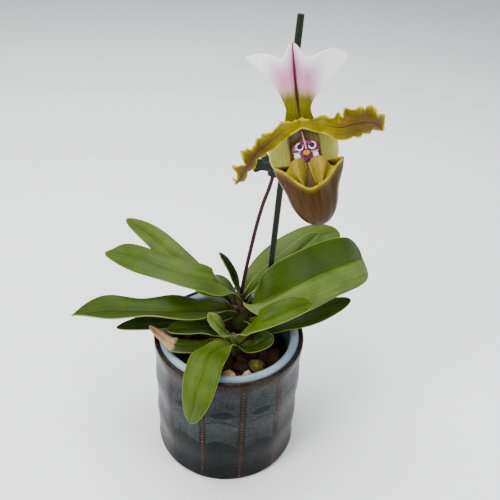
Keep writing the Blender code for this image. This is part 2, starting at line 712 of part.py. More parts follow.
def make_clip(finish, group):
    """The spring clip that holds the stem to the stake: one loop round both, and two finger grips."""
    stake = stake_centre(CLIP_HEIGHT)
    stem = Vector((22.0, 19.8, 193.0)) * MM
    centre = (stake + stem) / 2.0
    loop_width, loop_depth, wall, tall = 9.8 * MM, 5.5 * MM, 1.3 * MM, 7.0 * MM
    bpy.ops.mesh.primitive_cylinder_add(vertices=20, radius=1.0, depth=tall, location=(0.0, 0.0, 0.0))
    loop = bpy.context.object
    loop.name = "stem_clip"
    outer = Matrix.Diagonal((loop_width / 2.0 + wall, loop_depth / 2.0 + wall, 1.0, 1.0))
    loop.data.transform(Matrix.Translation(centre) @ outer)
    bpy.ops.mesh.primitive_cylinder_add(vertices=20, radius=1.0, depth=tall * 2.0)
    bore = bpy.context.object
    bore.data.transform(
        Matrix.Translation(centre) @ Matrix.Diagonal((loop_width / 2.0, loop_depth / 2.0, 1.0, 1.0))
    )
    grips = []
    grip_long, grip_thick, grip_tall = 12.0 * MM, 1.8 * MM, 9.6 * MM
    for side in (-1.0, 1.0):
        bpy.ops.mesh.primitive_cube_add(size=1.0)
        grip = bpy.context.object
        shape = Matrix.Diagonal((grip_long, grip_thick, grip_tall, 1.0))
        spread = Matrix.Rotation(math.radians(150.0 + side * 13.0), 4, "Z")
        reach = Matrix.Translation((grip_long / 2.0 + 3.2 * MM, side * 1.6 * MM, 1.2 * MM))
        grip.data.transform(Matrix.Translation(centre) @ spread @ reach @ shape)
        grips.append(grip)
    bpy.ops.mesh.primitive_cylinder_add(vertices=12, radius=2.2 * MM, depth=5.0 * MM)
    knuckle = bpy.context.object
    knuckle.data.transform(
        Matrix.Translation(centre + Vector((-6.9, 3.2, 0.8)) * MM)
    )
    for holder in list(loop.users_collection):
        holder.objects.unlink(loop)
    group.objects.link(loop)
    loop.data.materials.append(finish)
    join_all(loop, [*grips, knuckle])
    return join_all(loop, [bore], cut=True)


def main():
    """Builds every piece of the potted orchid."""
    clear_scene()
    group = collection("slipper_orchid")
    glaze = material("glaze", (0.055, 0.062, 0.062), 0.3)
    liner_plastic = material("liner_plastic", (0.33, 0.40, 0.44), 0.35)
    bark_brown = material("bark", (0.05, 0.028, 0.018), 0.9)
    stone_tan = material("stone", (0.62, 0.43, 0.24), 0.85)
    moss_green = material("moss", (0.16, 0.15, 0.04), 0.95)
    leaf_green = material("leaf", (0.10, 0.20, 0.03), 0.42)
    crown_maroon = material("crown", (0.10, 0.05, 0.03), 0.6)
    stem_maroon = material("stem", (0.09, 0.015, 0.03), 0.6)
    stake_green = material("stake", (0.02, 0.04, 0.015), 0.45)
    clip_black = material("clip", (0.01, 0.015, 0.015), 0.4)
    finishes = {
        "sepal": material("sepal", (0.85, 0.82, 0.83), 0.5),
        "petal": material("petal", (0.40, 0.33, 0.03), 0.5),
        "lower_sepal": material("lower_sepal", (0.42, 0.42, 0.14), 0.5),
        "pouch": material("pouch", (0.14, 0.08, 0.02), 0.35),
        "column": material("column", (0.25, 0.06, 0.16), 0.4),
    }
    make_pot(glaze, group)
    make_liner(liner_plastic, group)
    foot = CROWN_FOOT
    main_profile = [(0.0, 103.4), (2.6, 103.0), (3.4, 98.0), (4.4, 92.0), (4.6, 84.0), (4.6, foot), (0.0, foot)]
    front_profile = [(0.0, 90.0), (2.2, 89.6), (3.2, 84.0), (3.6, 78.0), (3.6, foot), (0.0, foot)]
    make_crown("crown_main", MAIN_CROWN, main_profile, crown_maroon, group)
    make_crown("crown_front", FRONT_CROWN, front_profile, crown_maroon, group)
    make_stake(stake_green, group)
    rooms = []
    for centre, radius in [(MAIN_CROWN, 4.6), (FRONT_CROWN, 3.6)]:
        foot = centre + Vector((0.0, 0.0, CROWN_FOOT * MM - FIT_GAP))
        rooms.append(hole_tool(foot, centre + Vector((0.0, 0.0, 95.0)) * MM, radius * MM + 2.0 * FIT_GAP, group))
    along = (STAKE_TOP - STAKE_FOOT).normalized()
    rooms.append(hole_tool(STAKE_FOOT - along * FIT_GAP, STAKE_FOOT + along * 90.0 * MM,
                           STAKE_RADIUS + 1.5 * FIT_GAP, group))
    for name, (centre, size, seed, turn) in STONES.items():
        finish = moss_green if name == "mossy_stone" else stone_tan
        rough_stone(name, centre, size, seed, turn, finish, group)
        rooms.append(rough_stone("room", centre, size, seed, turn, None, group, room=0.45))
    make_bark(bark_brown, group, rooms)
    for name, leaf in LEAVES.items():
        make_leaf(name, leaf, leaf_green, group)
    make_stem(stem_maroon, group)
    make_ovary(stem_maroon, group)
    make_bract(leaf_green, group)
    make_clip(clip_black, group)
    make_bloom(finishes, group)


main()
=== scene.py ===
"""Looks of the potted slipper orchid: fine leaves, bloom, stem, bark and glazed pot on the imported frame."""

import math
import random

import bmesh
import bpy
from mathutils import Matrix, Vector, noise


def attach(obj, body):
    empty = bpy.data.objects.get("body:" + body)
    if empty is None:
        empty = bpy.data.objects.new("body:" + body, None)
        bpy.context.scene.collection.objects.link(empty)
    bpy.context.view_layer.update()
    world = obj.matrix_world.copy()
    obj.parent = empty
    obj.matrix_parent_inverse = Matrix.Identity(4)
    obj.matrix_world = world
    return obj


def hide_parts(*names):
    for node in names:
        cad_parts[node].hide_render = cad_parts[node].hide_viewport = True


MM = 0.001

# Cover pot, nursery pot and bark
POT_HEIGHT = 88.0
POT_RIM_RADIUS = 47.5
POT_FOOT_RADIUS = 47.0
POT_LIP_INNER_RADIUS = 44.9
POT_LIP_ROUND = 1.3
POT_FOOT_ROUND = 3.0
POT_FLOOR = 5.0
PRESSED_FROM = 45.4
BEAD_ROWS = 12
BEAD_OFFSET = 14.0
LINER_FOOT_RADIUS = 33.0
LINER_WALL = 1.2
LINER_RIM_RADIUS = 44.6
LINER_ROLL = 2.8
LINER_TOP = 88.8
LINER_SHOULDER_RADIUS = 41.0
BARK_TOP = 76.0
BARK_FOOT = 6.8

MAIN_CROWN = Vector((6.0, 21.0, 0.0))
FRONT_CROWN = Vector((3.0, -5.0, 0.0))
CROWN_FOOT = 66.2
STAKE_FOOT = Vector((20.2, 20.0, 14.0))
STAKE_TOP = Vector((29.4, 20.0, 277.3))
STAKE_RADIUS = 1.85
STEM_RADIUS = 1.12
STEM_ROUTE = [(6.2, 20.2, 103.8), (8.2, 19.6, 120.0), (10.6, 18.6, 137.0), (13.4, 18.0, 155.0), (16.4, 18.2, 170.0),
              (19.8, 19.0, 182.0), (22.0, 19.6, 193.0), (22.6, 17.2, 202.0), (24.0, 12.4, 210.0)]
CLIP_HEIGHT = 193.0
CLIP_LOOP_HALF = (4.9, 2.75)

# The bloom has mm of its own: x right, y up and z to its front
BLOOM_CENTRE = Vector((35.0, -22.0, 225.0))
BLOOM_TURN = math.radians(6.0)
BLOOM_LIFT = math.radians(10.0)
BLOOM_LEAN = math.radians(10.0)
DORSAL_FOOT, DORSAL_TOP = 5.6, 49.2
LEFT_PETAL = [(0.4, 12.4, 0.0), (-9.6, 10.3, 1.6), (-18.3, 6.1, 3.6), (-24.6, 2.6, 4.6), (-29.8, -3.0, 4.5),
              (-33.8, -8.6, 3.0), (-36.6, -12.0, 1.5)]
RIGHT_PETAL = [(-2.2, 12.2, 0.6), (8.5, 10.1, 1.8), (16.6, 8.0, 3.6), (22.5, 8.8, 4.2), (28.5, 8.6, 4.0),
               (34.0, 6.8, 2.6), (37.8, 2.2, 0.0)]
LOWER_SEPAL_HALF, LOWER_SEPAL_FOOT = 17.4, -31.0
POUCH_FOOT, POUCH_SHOULDER = -37.0, -14.0
POUCH_HALF, POUCH_DEPTH = 12.5, 9.6
COLUMN_X, SLIT_X = -0.9, -0.8

LEAF_FOOT_HALF = 4.2
LEAF_THICKNESS = 0.7
FOOT_FOLD = 56.0
CLASP_SHARE = 0.06

# Each leaf: midrib (mm), full width (mm), lean and fold (degrees), bluntness, edge wave (mm), tone (0 shaded, 1 bright).
# Some have more: foot (half width, mm), foot_fold (degrees), far_swell and near_swell (where each half is full width),
# sway (of the width), steady (how far its sides keep one heading), pale (how washed out), far_half_painted_shade
# (painted shade on the far half), near_half_painted_sheen (painted sheen on the near half) and dry (where the dead tip
# starts)
LEAVES = {
    "leaf_left_back": dict(
        midrib=[(-0.7, 22.2, 86), (-8, 21, 101), (-19, 21, 109), (-35, 32, 118), (-55, 50, 124), (-78, 75, 122)],
        width=17, lean=-14, fold=12, blunt=2.4, wave=0.4, tone=0.75, pale=0.2,
    ),
    "leaf_left_upper": dict(
        midrib=[(0.2, 20.2, 97), (-5, 17.5, 109), (-12, 13, 117), (-28, 12, 121.5), (-52, 20, 124),
                (-71, 32, 121), (-85, 41, 116)],
        width=21.5, lean=-14, fold=7, blunt=2.2, wave=1.3, tone=0.5, pale=0.22, foot=8.0,
        foot_fold=42.0, far_swell=0.3, near_swell=0.2,
    ),
    "leaf_left_lower": dict(
        midrib=[(0.4, 16.8, 86), (-13, 7, 97), (-34, -2, 103), (-55, -3, 103), (-78, 0, 99), (-100, 1, 93)],
        width=24, lean=0, fold=24, blunt=1.7, wave=1.6, sway=0.13, tone=0.4, foot=7.0,
    ),
    "leaf_left_shaded": dict(
        midrib=[(0.4, 18.8, 81.5), (-15, 9, 85.5), (-32, 4, 90.5), (-50, 0, 91.6), (-71, -4, 89)],
        width=16, lean=0, fold=10, blunt=1.8, wave=0.3, tone=0.1,
    ),
    "leaf_left_short": dict(
        midrib=[(-2.2, -3.1, 83), (-9, -2, 89), (-18, -4, 92.5), (-28, -8, 95), (-38, -10, 94.5)],
        width=14, lean=0, fold=14, blunt=2.0, wave=0.3, tone=0.35,
    ),
    "leaf_dry_tip": dict(
        midrib=[(-2.4, -7.2, 81.5), (-10, -11.5, 85.5), (-20, -17, 89), (-31, -20.5, 92.6), (-40.5, -16, 94.8),
                (-49, -9, 96.6)],
        width=12.5, lean=0, fold=4, blunt=1.7, wave=0.3, tone=0.25, dry=0.62,
    ),
    "leaf_front_hanging": dict(
        midrib=[(2.2, -10.4, 82), (-4, -19, 91), (-10.5, -36, 97.5), (-13.5, -51, 94.5), (-16, -57.5, 84),
                (-19, -59, 69)],
        width=21, lean=4, fold=5, blunt=1.5, wave=0.4, tone=0.8, steady=1.2,
    ),
    "leaf_young": dict(
        midrib=[(-1.6, -5.9, 88), (-4, -7, 94), (-8, -6.5, 99.5), (-13, -3, 104)],
        width=8.6, lean=-20, fold=8, blunt=2.0, wave=0.1, tone=0.7, pale=0.6,
    ),
    "leaf_right_small": dict(
        midrib=[(8.7, -6.8, 85), (14.5, -11.8, 100.5), (21.8, -13.8, 109.8), (35.7, -11, 116.8), (49.2, -3, 116.2)],
        width=17.5, lean=10, fold=18, blunt=2.4, wave=0.4, tone=0.8, foot=6.0,
    ),
    "leaf_right_large": dict(
        midrib=[(11.7, 16.8, 92), (16, 9, 103.4), (24, 5.8, 110.6), (36, 9.6, 117), (48, 17, 120), (61, 28, 120),
                (77, 41, 118), (88, 57, 112)],
        width=38, lean=46, fold=16, blunt=4.5, wave=0.6, far_swell=0.48, near_swell=0.5, foot=5.6, tone=0.75,
        far_half_painted_shade=0.6, near_half_painted_sheen=0.55,
    ),
    "leaf_right_back": dict(
        midrib=[(9.0, 26.5, 92), (17, 37, 104), (33.8, 47, 116), (52.4, 59, 122.6), (72, 76, 121)],
        width=27, lean=12, fold=12, blunt=2.8, wave=0.5, tone=0.5, pale=0.35,
    ),
    "leaf_right_inner": dict(
        midrib=[(10.8, 22.8, 99), (19, 29.4, 107), (34.2, 37.3, 117.8), (47.4, 47.4, 125.9), (56.4, 57.4, 128.9)],
        width=13, lean=22, fold=8, blunt=2.0, wave=0.2, tone=0.5, pale=0.25,
    ),
    "leaf_right_low": dict(
        midrib=[(10.6, 16.9, 80), (22, 8.5, 88.5), (35, 9, 93.5), (54, 14, 96), (79, 28, 97)],
        width=20, lean=8, fold=2, blunt=1.7, wave=0.3, tone=0.3,
    ),
    "leaf_right_tiny": dict(
        midrib=[(8.2, -8.1, 80.5), (15, -13, 88), (21, -12.5, 92), (27, -9, 94)],
        width=12, lean=12, fold=8, blunt=3.0, wave=0.2, tone=0.3,
    ),
    "leaf_back_small": dict(
        midrib=[(3.4, 25.5, 103), (0.4, 26.5, 113), (-4, 26.5, 122), (-9, 26, 130)],
        width=6.4, lean=-30, fold=16, blunt=1.2, wave=0.0, tone=0.15, foot_fold=20.0,
    ),
}


def smooth(value):
    """0 to 1 with level ends."""
    value = min(1.0, max(0.0, value))
    return value * value * (3.0 - 2.0 * value)


def beyond(value, start):
    """0 up to start, then straight up to 1 at 1."""
    return max(0.0, (value - start) / (1.0 - start))


def hump(value, width):
    """1 at 0, dying away on both sides over a width."""
    return math.exp(-(value / width) ** 2)


def spline_point(points, share):
    """A point on the Catmull-Rom curve through points, share 0 to 1 of the way along."""
    last = len(points) - 1
    place = min(max(share, 0.0) * last, last - 1e-9)
    index = int(place)
    t = place - index
    p1, p2 = points[index], points[index + 1]
    p0 = points[index - 1] if index > 0 else p1 * 2 - p2
    p3 = points[index + 2] if index + 2 <= last else p2 * 2 - p1
    return 0.5 * (
        p1 * 2 + (p2 - p0) * t + (p0 * 2 - p1 * 5 + p2 * 4 - p3) * t * t + (p1 * 3 - p0 - p2 * 3 + p3) * t ** 3
    )


def spline_way(points, share):
    """How the curve runs at a share: from a little before it to a little past it."""
    return spline_point(points, min(1.0, share + 0.01)) - spline_point(points, max(0.0, share - 0.01))


def vectors(points):
    """Points as vectors."""
    return [Vector(point) for point in points]


def curve(points, steps):
    """Points evenly along the curve through these."""
    route = vectors(points)
    return [spline_point(route, k / steps) for k in range(steps + 1)]


def turned(first, second, angle):
    """Two directions at right angles, both turned from the first towards the second."""
    cosine, sine = math.cos(angle), math.sin(angle)
    return first * cosine + second * sine, second * cosine - first * sine


def standing(centre, right, up, front):
    """The matrix of a thing at a place, with its own x, y and z in these directions."""
    return Matrix.Translation(centre) @ Matrix((right, up, front)).transposed().to_4x4()


def scaled(point, size):
    """A point with each of its numbers multiplied by the size that way."""
    return Vector([a * b for a, b in zip(point, size)])


# Meshes


def linked(name, data):
    """A new object with this data, in the scene."""
    thing = bpy.data.objects.new(name, data)
    bpy.context.scene.collection.objects.link(thing)
    return thing


def finish_piece(name, mesh, materials, nodes, slot):
    """Links a mesh as a piece that rides on the plant's body."""
    piece = linked(name, mesh)
    mesh.materials.clear()
    for material in materials:
        mesh.materials.append(material)
    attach(piece, "root")
    if nodes:
        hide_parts(*nodes)


def ended(body, name, soft=True, sharp=None):
    """A drafted body as a mesh, shaded soft or flat, with edges sharper than an angle in degrees kept sharp."""
    mesh = bpy.data.meshes.new(name)
    body.to_mesh(mesh)
    body.free()
    if soft:
        mesh.shade_smooth()
    if sharp:
        mesh.set_sharp_from_angle(angle=math.radians(sharp))
    return mesh


def outward(body):
    """Turns a closed body's faces outwards."""
    bmesh.ops.recalc_face_normals(body, faces=body.faces)


def bridge(body, low, high):
    """Faces between two closed rings of corners."""
    count = len(low)
    for k in range(count):
        after = (k + 1) % count
        body.faces.new((low[k], low[after], high[after], high[k]))


def thin_sheet(name, place, rows, columns, thickness, mark):
    """A closed sheet: a grid put at place(u, v) in mm, given a thickness, with mark(u, v) kept for its material."""
    grid = bmesh.new()
    bmesh.ops.create_grid(grid, x_segments=rows, y_segments=columns, size=0.5)
    layer = grid.verts.layers.float_vector.new("blade")
    for vertex in grid.verts:
        u, v = vertex.co.x + 0.5, vertex.co.y * 2.0
        vertex[layer] = mark(u, v)
        vertex.co = Vector(place(u, v)) * MM
    bmesh.ops.remove_doubles(grid, verts=grid.verts, dist=1e-6)
    draft = linked(name, ended(grid, name, soft=False))
    solid = draft.modifiers.new("thickness", "SOLIDIFY")
    solid.thickness = thickness * MM
    solid.offset = 0.0
    solid.material_offset = 1
    bpy.context.view_layer.update()
    ready = bpy.data.meshes.new_from_object(draft.evaluated_get(bpy.context.evaluated_depsgraph_get()))
    bpy.data.objects.remove(draft)
    ready.shade_smooth()
    return ready


def blade_mark(along, v, half):
    """What a blade's material reads: the share along it, mm across from its midline and mm in from its edge."""
    return along, v * half, half * (1.0 - abs(v))


def turned_mesh(name, profile, steps, shape=None):
    """A turned body from (radius, height) pairs in mm, run from the axis round its outside and back to the axis."""
    body = bmesh.new()
    line = [body.verts.new((r * MM, 0.0, z * MM)) for r, z in profile]
    edges = [body.edges.new(pair) for pair in zip(line, line[1:])]
    bmesh.ops.spin(body, geom=line + edges, cent=(0, 0, 0), axis=(0, 0, 1), angle=math.tau, steps=steps,
                   use_merge=True, use_duplicate=False)
    bmesh.ops.remove_doubles(body, verts=body.verts, dist=1e-6)
    outward(body)
    if shape:
        for vertex in body.verts:
            vertex.co = shape(vertex.co / MM) * MM
    return ended(body, name)


def tube_mesh(name, points, radii, sides=16, squash=None):
    """A round rod in mm along points, one radius for each, with flat ends, and marks (along, round, 0)."""
    body = bmesh.new()
    layer = body.verts.layers.float_vector.new("blade")
    rings = []
    last = len(points) - 1
    side = (points[1] - points[0]).normalized().orthogonal().normalized()
    for k, point in enumerate(points):
        ahead = (points[min(k + 1, last)] - points[max(k - 1, 0)]).normalized()
        side = (side - ahead * side.dot(ahead)).normalized()
        other = ahead.cross(side)
        ring = []
        for j in range(sides):
            angle = math.tau * j / sides
            wide = radii[k] * (squash(k / last, angle) if squash else 1.0)
            vertex = body.verts.new((point + (side * math.cos(angle) + other * math.sin(angle)) * wide) * MM)
            vertex[layer] = (k / last, angle, 0.0)
            ring.append(vertex)
        rings.append(ring)
    for low, high in zip(rings, rings[1:]):
        bridge(body, low, high)
    body.faces.new(rings[0][::-1])
    body.faces.new(rings[-1])
    outward(body)
    return ended(body, name, sharp=50)


def merged(name, meshes):
    """Several meshes as one, each keeping its own material places and marks."""
    body = bmesh.new()
    for mesh in meshes:
        body.from_mesh(mesh)
    return ended(body, name)


def ball_mesh(centre, size, matrix=Matrix(), rough=0.0, seed=0.0, detail=(20, 14)):
    """A squashed ball in mm, placed by a matrix and pushed about a little by noise."""
    body = bmesh.new()
    bmesh.ops.create_uvsphere(body, u_segments=detail[0], v_segments=detail[1], radius=1.0)
    for vertex in body.verts:
        push = 1.0 + rough * noise.noise(vertex.co * 1.8 + Vector((seed, 0.0, 0.0)))
        vertex.co = matrix @ (scaled(vertex.co, size) * push + Vector(centre)) * MM
    return ended(body, "ball")


# Material building


class Wires:
    """Short names for the shader nodes that these materials and groups are wired from."""

    def __init__(self, tree):
        self.nodes = tree.nodes
        self.links = tree.links

    def put(self, kind, **settings):
        node = self.nodes.new(kind)
        for key, value in settings.items():
            setattr(node, key, value)
        return node

    def feed(self, socket, value):
        if isinstance(value, bpy.types.NodeSocket):
            self.links.new(value, socket)
        elif isinstance(value, (tuple, list)) and len(value) == 3 and socket.type == "RGBA":
            socket.default_value = (*value, 1.0)
        else:
            socket.default_value = value

    def fill(self, kind, values, **settings):
        """A new node with its first inputs fed in turn."""
        node = self.put(kind, **settings)
        for socket, value in zip(node.inputs, values):
            self.feed(socket, value)
        return node.outputs[0]

    def math(self, operation, a, b=0.0, clamp=False):
        return self.fill("ShaderNodeMath", (a, b), operation=operation, use_clamp=clamp)

    def joined(self, operation, values):
        total = values[0]
        for value in values[1:]:
            total = self.math(operation, total, value)
        return total

    def times(self, *values):
        return self.joined("MULTIPLY", values)

    def plus(self, *values):
        return self.joined("ADD", values)

    def minus(self, a, b):
        return self.math("SUBTRACT", a, b)

    def absolute(self, value):
        return self.math("ABSOLUTE", value)

    def step(self, value, low, high, to_low=0.0, to_high=1.0):
        """A soft step from to_low to to_high as the value goes from low to high."""
        return self.fill("ShaderNodeMapRange", (value, low, high, to_low, to_high),
                         interpolation_type="SMOOTHSTEP")

    def mix(self, share, a, b):
        node = self.put("ShaderNodeMix", data_type="RGBA", blend_type="MIX")
        for index, value in ((0, share), (6, a), (7, b)):
            self.feed(node.inputs[index], value)
        return node.outputs[2]

    def over(self, base, colour, *shares):
        """A base with a colour laid over it, as strong as all the shares multiplied."""
        return self.mix(self.times(*shares), base, colour)

    def split(self, vector):
        node = self.put("ShaderNodeSeparateXYZ")
        self.links.new(vector, node.inputs[0])
        return node.outputs

    def marks(self, name="blade"):
        """The three numbers that a mesh carries for its material."""
        return self.split(self.put("ShaderNodeAttribute", attribute_name=name).outputs["Vector"])

    def vector(self, x, y, z):
        return self.fill("ShaderNodeCombineXYZ", (x, y, z))

    def here(self):
        return self.put("ShaderNodeTexCoord").outputs["Object"]

    def drawn_out(self, where, share):
        """Places squeezed along z, so that a pattern runs down in streaks."""
        node = self.put("ShaderNodeMapping")
        self.feed(node.inputs["Vector"], where)
        node.inputs["Scale"].default_value = (1.0, 1.0, share)
        return node.outputs[0]

    def noise(self, where, scale, detail=4.0, roughness=0.55):
        node = self.put("ShaderNodeTexNoise")
        for label, value in (("Vector", where), ("Scale", scale), ("Detail", detail), ("Roughness", roughness)):
            self.feed(node.inputs[label], value)
        return node.outputs["Fac"]

    def cells(self, where, scale):
        node = self.put("ShaderNodeTexVoronoi", feature="F1")
        self.feed(node.inputs["Vector"], where)
        self.feed(node.inputs["Scale"], scale)
        return node.outputs["Distance"]

    def bump(self, height, strength, distance):
        node = self.put("ShaderNodeBump")
        for label, value in (("Strength", strength), ("Distance", distance), ("Height", height)):
            self.feed(node.inputs[label], value)
        return node.outputs[0]


class Paint(Wires):
    """The wires of a new Principled material, with the three shared groups at hand."""

    def __init__(self, name, groups=None):
        self.made = bpy.data.materials.new(name)
        self.made.use_nodes = True
        super().__init__(self.made.node_tree)
        self.shader = self.nodes["Principled BSDF"].inputs
        self.groups = groups

    def group(self, key, *values):
        node = self.put("ShaderNodeGroup", node_tree=self.groups[key])
        for socket, value in zip(node.inputs, values):
            self.feed(socket, value)
        return node.outputs

    def tissue(self, light, dark, vein_spacing, vein_strength, mottle_scale):
        return self.group("tissue", light, dark, vein_spacing, vein_strength, mottle_scale)

    def spots(self, scale, amount):
        return self.group("spots", scale, amount)["Spots"]

    def wear(self, first, second, blotch_scale, grain_scale, grain_share):
        return self.group("wear", first, second, blotch_scale, grain_scale, grain_share)

    def done(self, base, rough, relief=None, bump=(0.3, 0.0003), mirror=0.5):
        """Feeds the shader: colour, roughness as a soft step, relief with its bump, and how much it mirrors."""
        self.feed(self.shader["Base Color"], base)
        self.feed(self.shader["Roughness"], self.step(*rough))
        if relief is not None:
            self.feed(self.shader["Normal"], self.bump(relief, *bump))
        self.shader["Specular IOR Level"].default_value = mirror
        return self.made


def blend(first, second, share):
    """A colour part of the way from one to another."""
    return tuple(a + (b - a) * share for a, b in zip(first, second))


def group_tree(name, inputs, outputs):
    """An empty shader group: its tree, wires, input sockets and output sockets. Tuples are colours, floats numbers."""
    tree = bpy.data.node_groups.new(name, "ShaderNodeTree")
    kinds = {tuple: "NodeSocketColor", float: "NodeSocketFloat"}
    for label, value in inputs:
        socket = tree.interface.new_socket(label, in_out="INPUT", socket_type=kinds[type(value)])
        socket.default_value = value
    for label, kind in outputs:
        tree.interface.new_socket(label, in_out="OUTPUT", socket_type=kinds[kind])
    wires = Wires(tree)
    return tree, wires, wires.put("NodeGroupInput").outputs, wires.put("NodeGroupOutput").inputs


def make_tissue_group():
    """Living tissue: long fine veins beside the midrib, soft mottling, and the height of both."""
    tree, w, given, out = group_tree(
        "plant_tissue",
        [("Light", (0.2, 0.3, 0.05, 1)), ("Dark", (0.05, 0.1, 0.01, 1)), ("Vein spacing", 1.2),
         ("Vein strength", 0.35), ("Mottle scale", 90.0)],
        [("Colour", tuple), ("Height", float), ("Mottle", float)],
    )
    along, across, _ = w.marks()
    lines = w.math("SINE", w.times(across, w.math("DIVIDE", math.tau, given["Vein spacing"])))
    wander = w.noise(w.vector(w.times(along, 1.6), w.times(across, 0.5), 0.0), 2.4, 5.0)
    soft = w.noise(w.here(), given["Mottle scale"], 4.0, 0.6)
    mottle = w.plus(w.times(wander, 0.55), w.times(soft, 0.45))
    vein = w.times(lines, 0.5, given["Vein strength"])
    share = w.math("ADD", w.step(mottle, 0.2, 0.8), vein, clamp=True)
    w.feed(out["Colour"], w.mix(share, given["Dark"], given["Light"]))
    w.feed(out["Height"], w.plus(w.times(lines, 0.09), w.times(soft, 0.5)))
    w.feed(out["Mottle"], mottle)
    return tree


def make_speckle_group():
    """Small round spots scattered over a surface, thinner where the amount is low."""
    tree, w, given, out = group_tree("fine_spots", [("Scale", 900.0), ("Amount", 0.5)], [("Spots", float)])
    dots = w.cells(w.here(), given["Scale"])
    patch = w.noise(w.here(), w.times(given["Scale"], 0.25), 3.0, 0.6)
    size = w.times(given["Amount"], patch, 0.75)
    w.feed(out["Spots"], w.step(dots, size, w.times(size, 0.6)))
    return tree


def make_wear_group():
    """Blotches and grains at two sizes, for glaze, bark and stone."""
    tree, w, given, out = group_tree(
        "blotch_and_grain",
        [("First", (0.1, 0.1, 0.1, 1)), ("Second", (0.2, 0.2, 0.2, 1)), ("Blotch scale", 60.0),
         ("Grain scale", 900.0), ("Grain share", 0.4)],
        [("Colour", tuple), ("Height", float)],
    )
    blotch = w.noise(w.here(), given["Blotch scale"], 5.0, 0.6)
    grain = w.noise(w.here(), given["Grain scale"], 3.0, 0.7)
    both = w.plus(w.times(blotch, w.minus(1.0, given["Grain share"])), w.times(grain, given["Grain share"]))
    w.feed(out["Colour"], w.mix(w.step(both, 0.36, 0.64), given["First"], given["Second"]))
    w.feed(out["Height"], both)
    return tree


# Leaf colours: a shaded, a bright and a washed-out leaf, for the dark and for the light of the mottling
LEAF_DARKS = ((0.0022, 0.0085, 0.0001), (0.017, 0.040, 0.00005), (0.060, 0.095, 0.018))
LEAF_LIGHTS = ((0.011, 0.028, 0.0004), (0.088, 0.140, 0.00005), (0.145, 0.205, 0.040))
FOOT_GREEN = (0.11, 0.15, 0.030)
FOOT_SPOT = (0.035, 0.004, 0.008)
# Painted sheen, laid in patches over a leaf's lit near half
PAINTED_SHEEN = (0.125, 0.180, 0.050)
MARGIN_GREEN = (0.25, 0.29, 0.06)
DRY_BROWN, DRY_TAN = (0.17, 0.085, 0.035), (0.40, 0.25, 0.13)


def leaf_material(name, leaf, groups):
    """Leathery strap leaf: mottled green, painted shade in the crease and over its far half, painted sheen on some
    near halves, a thin pale margin and a spotted foot.
    """
    w = Paint(name, groups)
    dark, light = [blend(blend(shaded, bright, leaf["tone"]), washed, leaf.get("pale", 0.0))
                   for shaded, bright, washed in (LEAF_DARKS, LEAF_LIGHTS)]
    tissue = w.tissue(light, dark, 1.9, 0.05, 70.0)
    along, across, edge = w.marks()
    base = w.over(tissue["Colour"], FOOT_GREEN, w.step(along, 0.34, 0.04), 0.55)
    base = w.over(base, FOOT_SPOT, w.spots(1100.0, 0.9), w.step(along, 0.26, 0.02), 0.9)
    # Painted shade: a darker copy of the leaf's dark green laid along the midrib's crease
    crease = w.step(w.absolute(across), 0.42, 0.12)
    base = w.over(base, tuple(c * 0.4 for c in dark), crease, 0.6)
    # Painted shade over the far half of every leaf, deeper on the leaves that set far_half_painted_shade
    base = w.over(base, dark, w.step(across, 0.0, -1.5), leaf.get("far_half_painted_shade", 0.15))
    # Painted sheen: pale grey-green patches over the near half, following the mottling
    if "near_half_painted_sheen" in leaf:
        sheen_patches = w.step(tissue["Mottle"], 0.35, 0.65, 0.45, 1.0)
        base = w.over(base, PAINTED_SHEEN, w.step(across, 0.5, 3.0), sheen_patches, leaf["near_half_painted_sheen"])
    base = w.over(base, MARGIN_GREEN, w.step(edge, 0.38, 0.08), 0.68)
    if "dry" in leaf:
        ragged = w.plus(along, w.times(w.noise(w.here(), 160.0), 0.12))
        dead = w.step(ragged, leaf["dry"] + 0.04, leaf["dry"] + 0.09)
        base = w.mix(dead, base, w.mix(w.noise(w.here(), 420.0), DRY_BROWN, DRY_TAN))
    return w.done(base, (tissue["Mottle"], 0.3, 0.8, 0.42, 0.58), tissue["Height"], (0.25, 0.0003), 0.13)


def sepal_material(groups):
    """Dorsal sepal: white wings, pink flush, olive-yellow waist and a maroon midvein."""
    w = Paint("sepal_white_and_olive", groups)
    pink, buff, rose = (0.50, 0.16, 0.33), (0.40, 0.27, 0.10), (0.42, 0.05, 0.20)
    vein_low, vein_high = (0.045, 0.003, 0.006), (0.16, 0.005, 0.05)
    along, across, _ = w.marks()
    away = w.absolute(across)
    waver = w.times(w.noise(w.vector(w.times(across, 0.3), 0.0, along), 1.6, 3.0), 0.16)
    height = w.plus(along, w.minus(waver, 0.08))
    olive = w.tissue((0.175, 0.160, 0.0001), (0.075, 0.070, 0.00005), 1.3, 0.18, 140.0)
    white = w.tissue((0.97, 0.96, 0.97), (0.84, 0.82, 0.84), 1.7, 0.12, 90.0)
    base = w.over(white["Colour"], pink, w.step(away, 16.0, 5.0), w.step(height, 0.42, 0.6),
                  w.step(height, 1.06, 0.74), 0.9)
    line = w.plus(height, w.times(away, 0.006))
    base = w.over(base, buff, w.step(line, 0.68, 0.54), w.step(away, 12.0, 6.0), 0.7)
    base = w.over(base, olive["Colour"], w.step(line, 0.64, 0.47))
    base = w.over(base, rose, w.step(away, 3.6, 0.5), w.step(height, 0.5, 0.75), 0.25)
    width = w.times(w.step(along, 0.05, 0.45), w.step(along, 1.0, 0.7, 0.45, 1.0))
    vein = w.step(away, w.times(width, 1.35), w.times(width, 0.5))
    base = w.over(base, w.mix(w.step(along, 0.5, 0.85), vein_low, vein_high), vein)
    return w.done(base, (white["Mottle"], 0.3, 0.8, 0.42, 0.6), white["Height"], mirror=0.15)


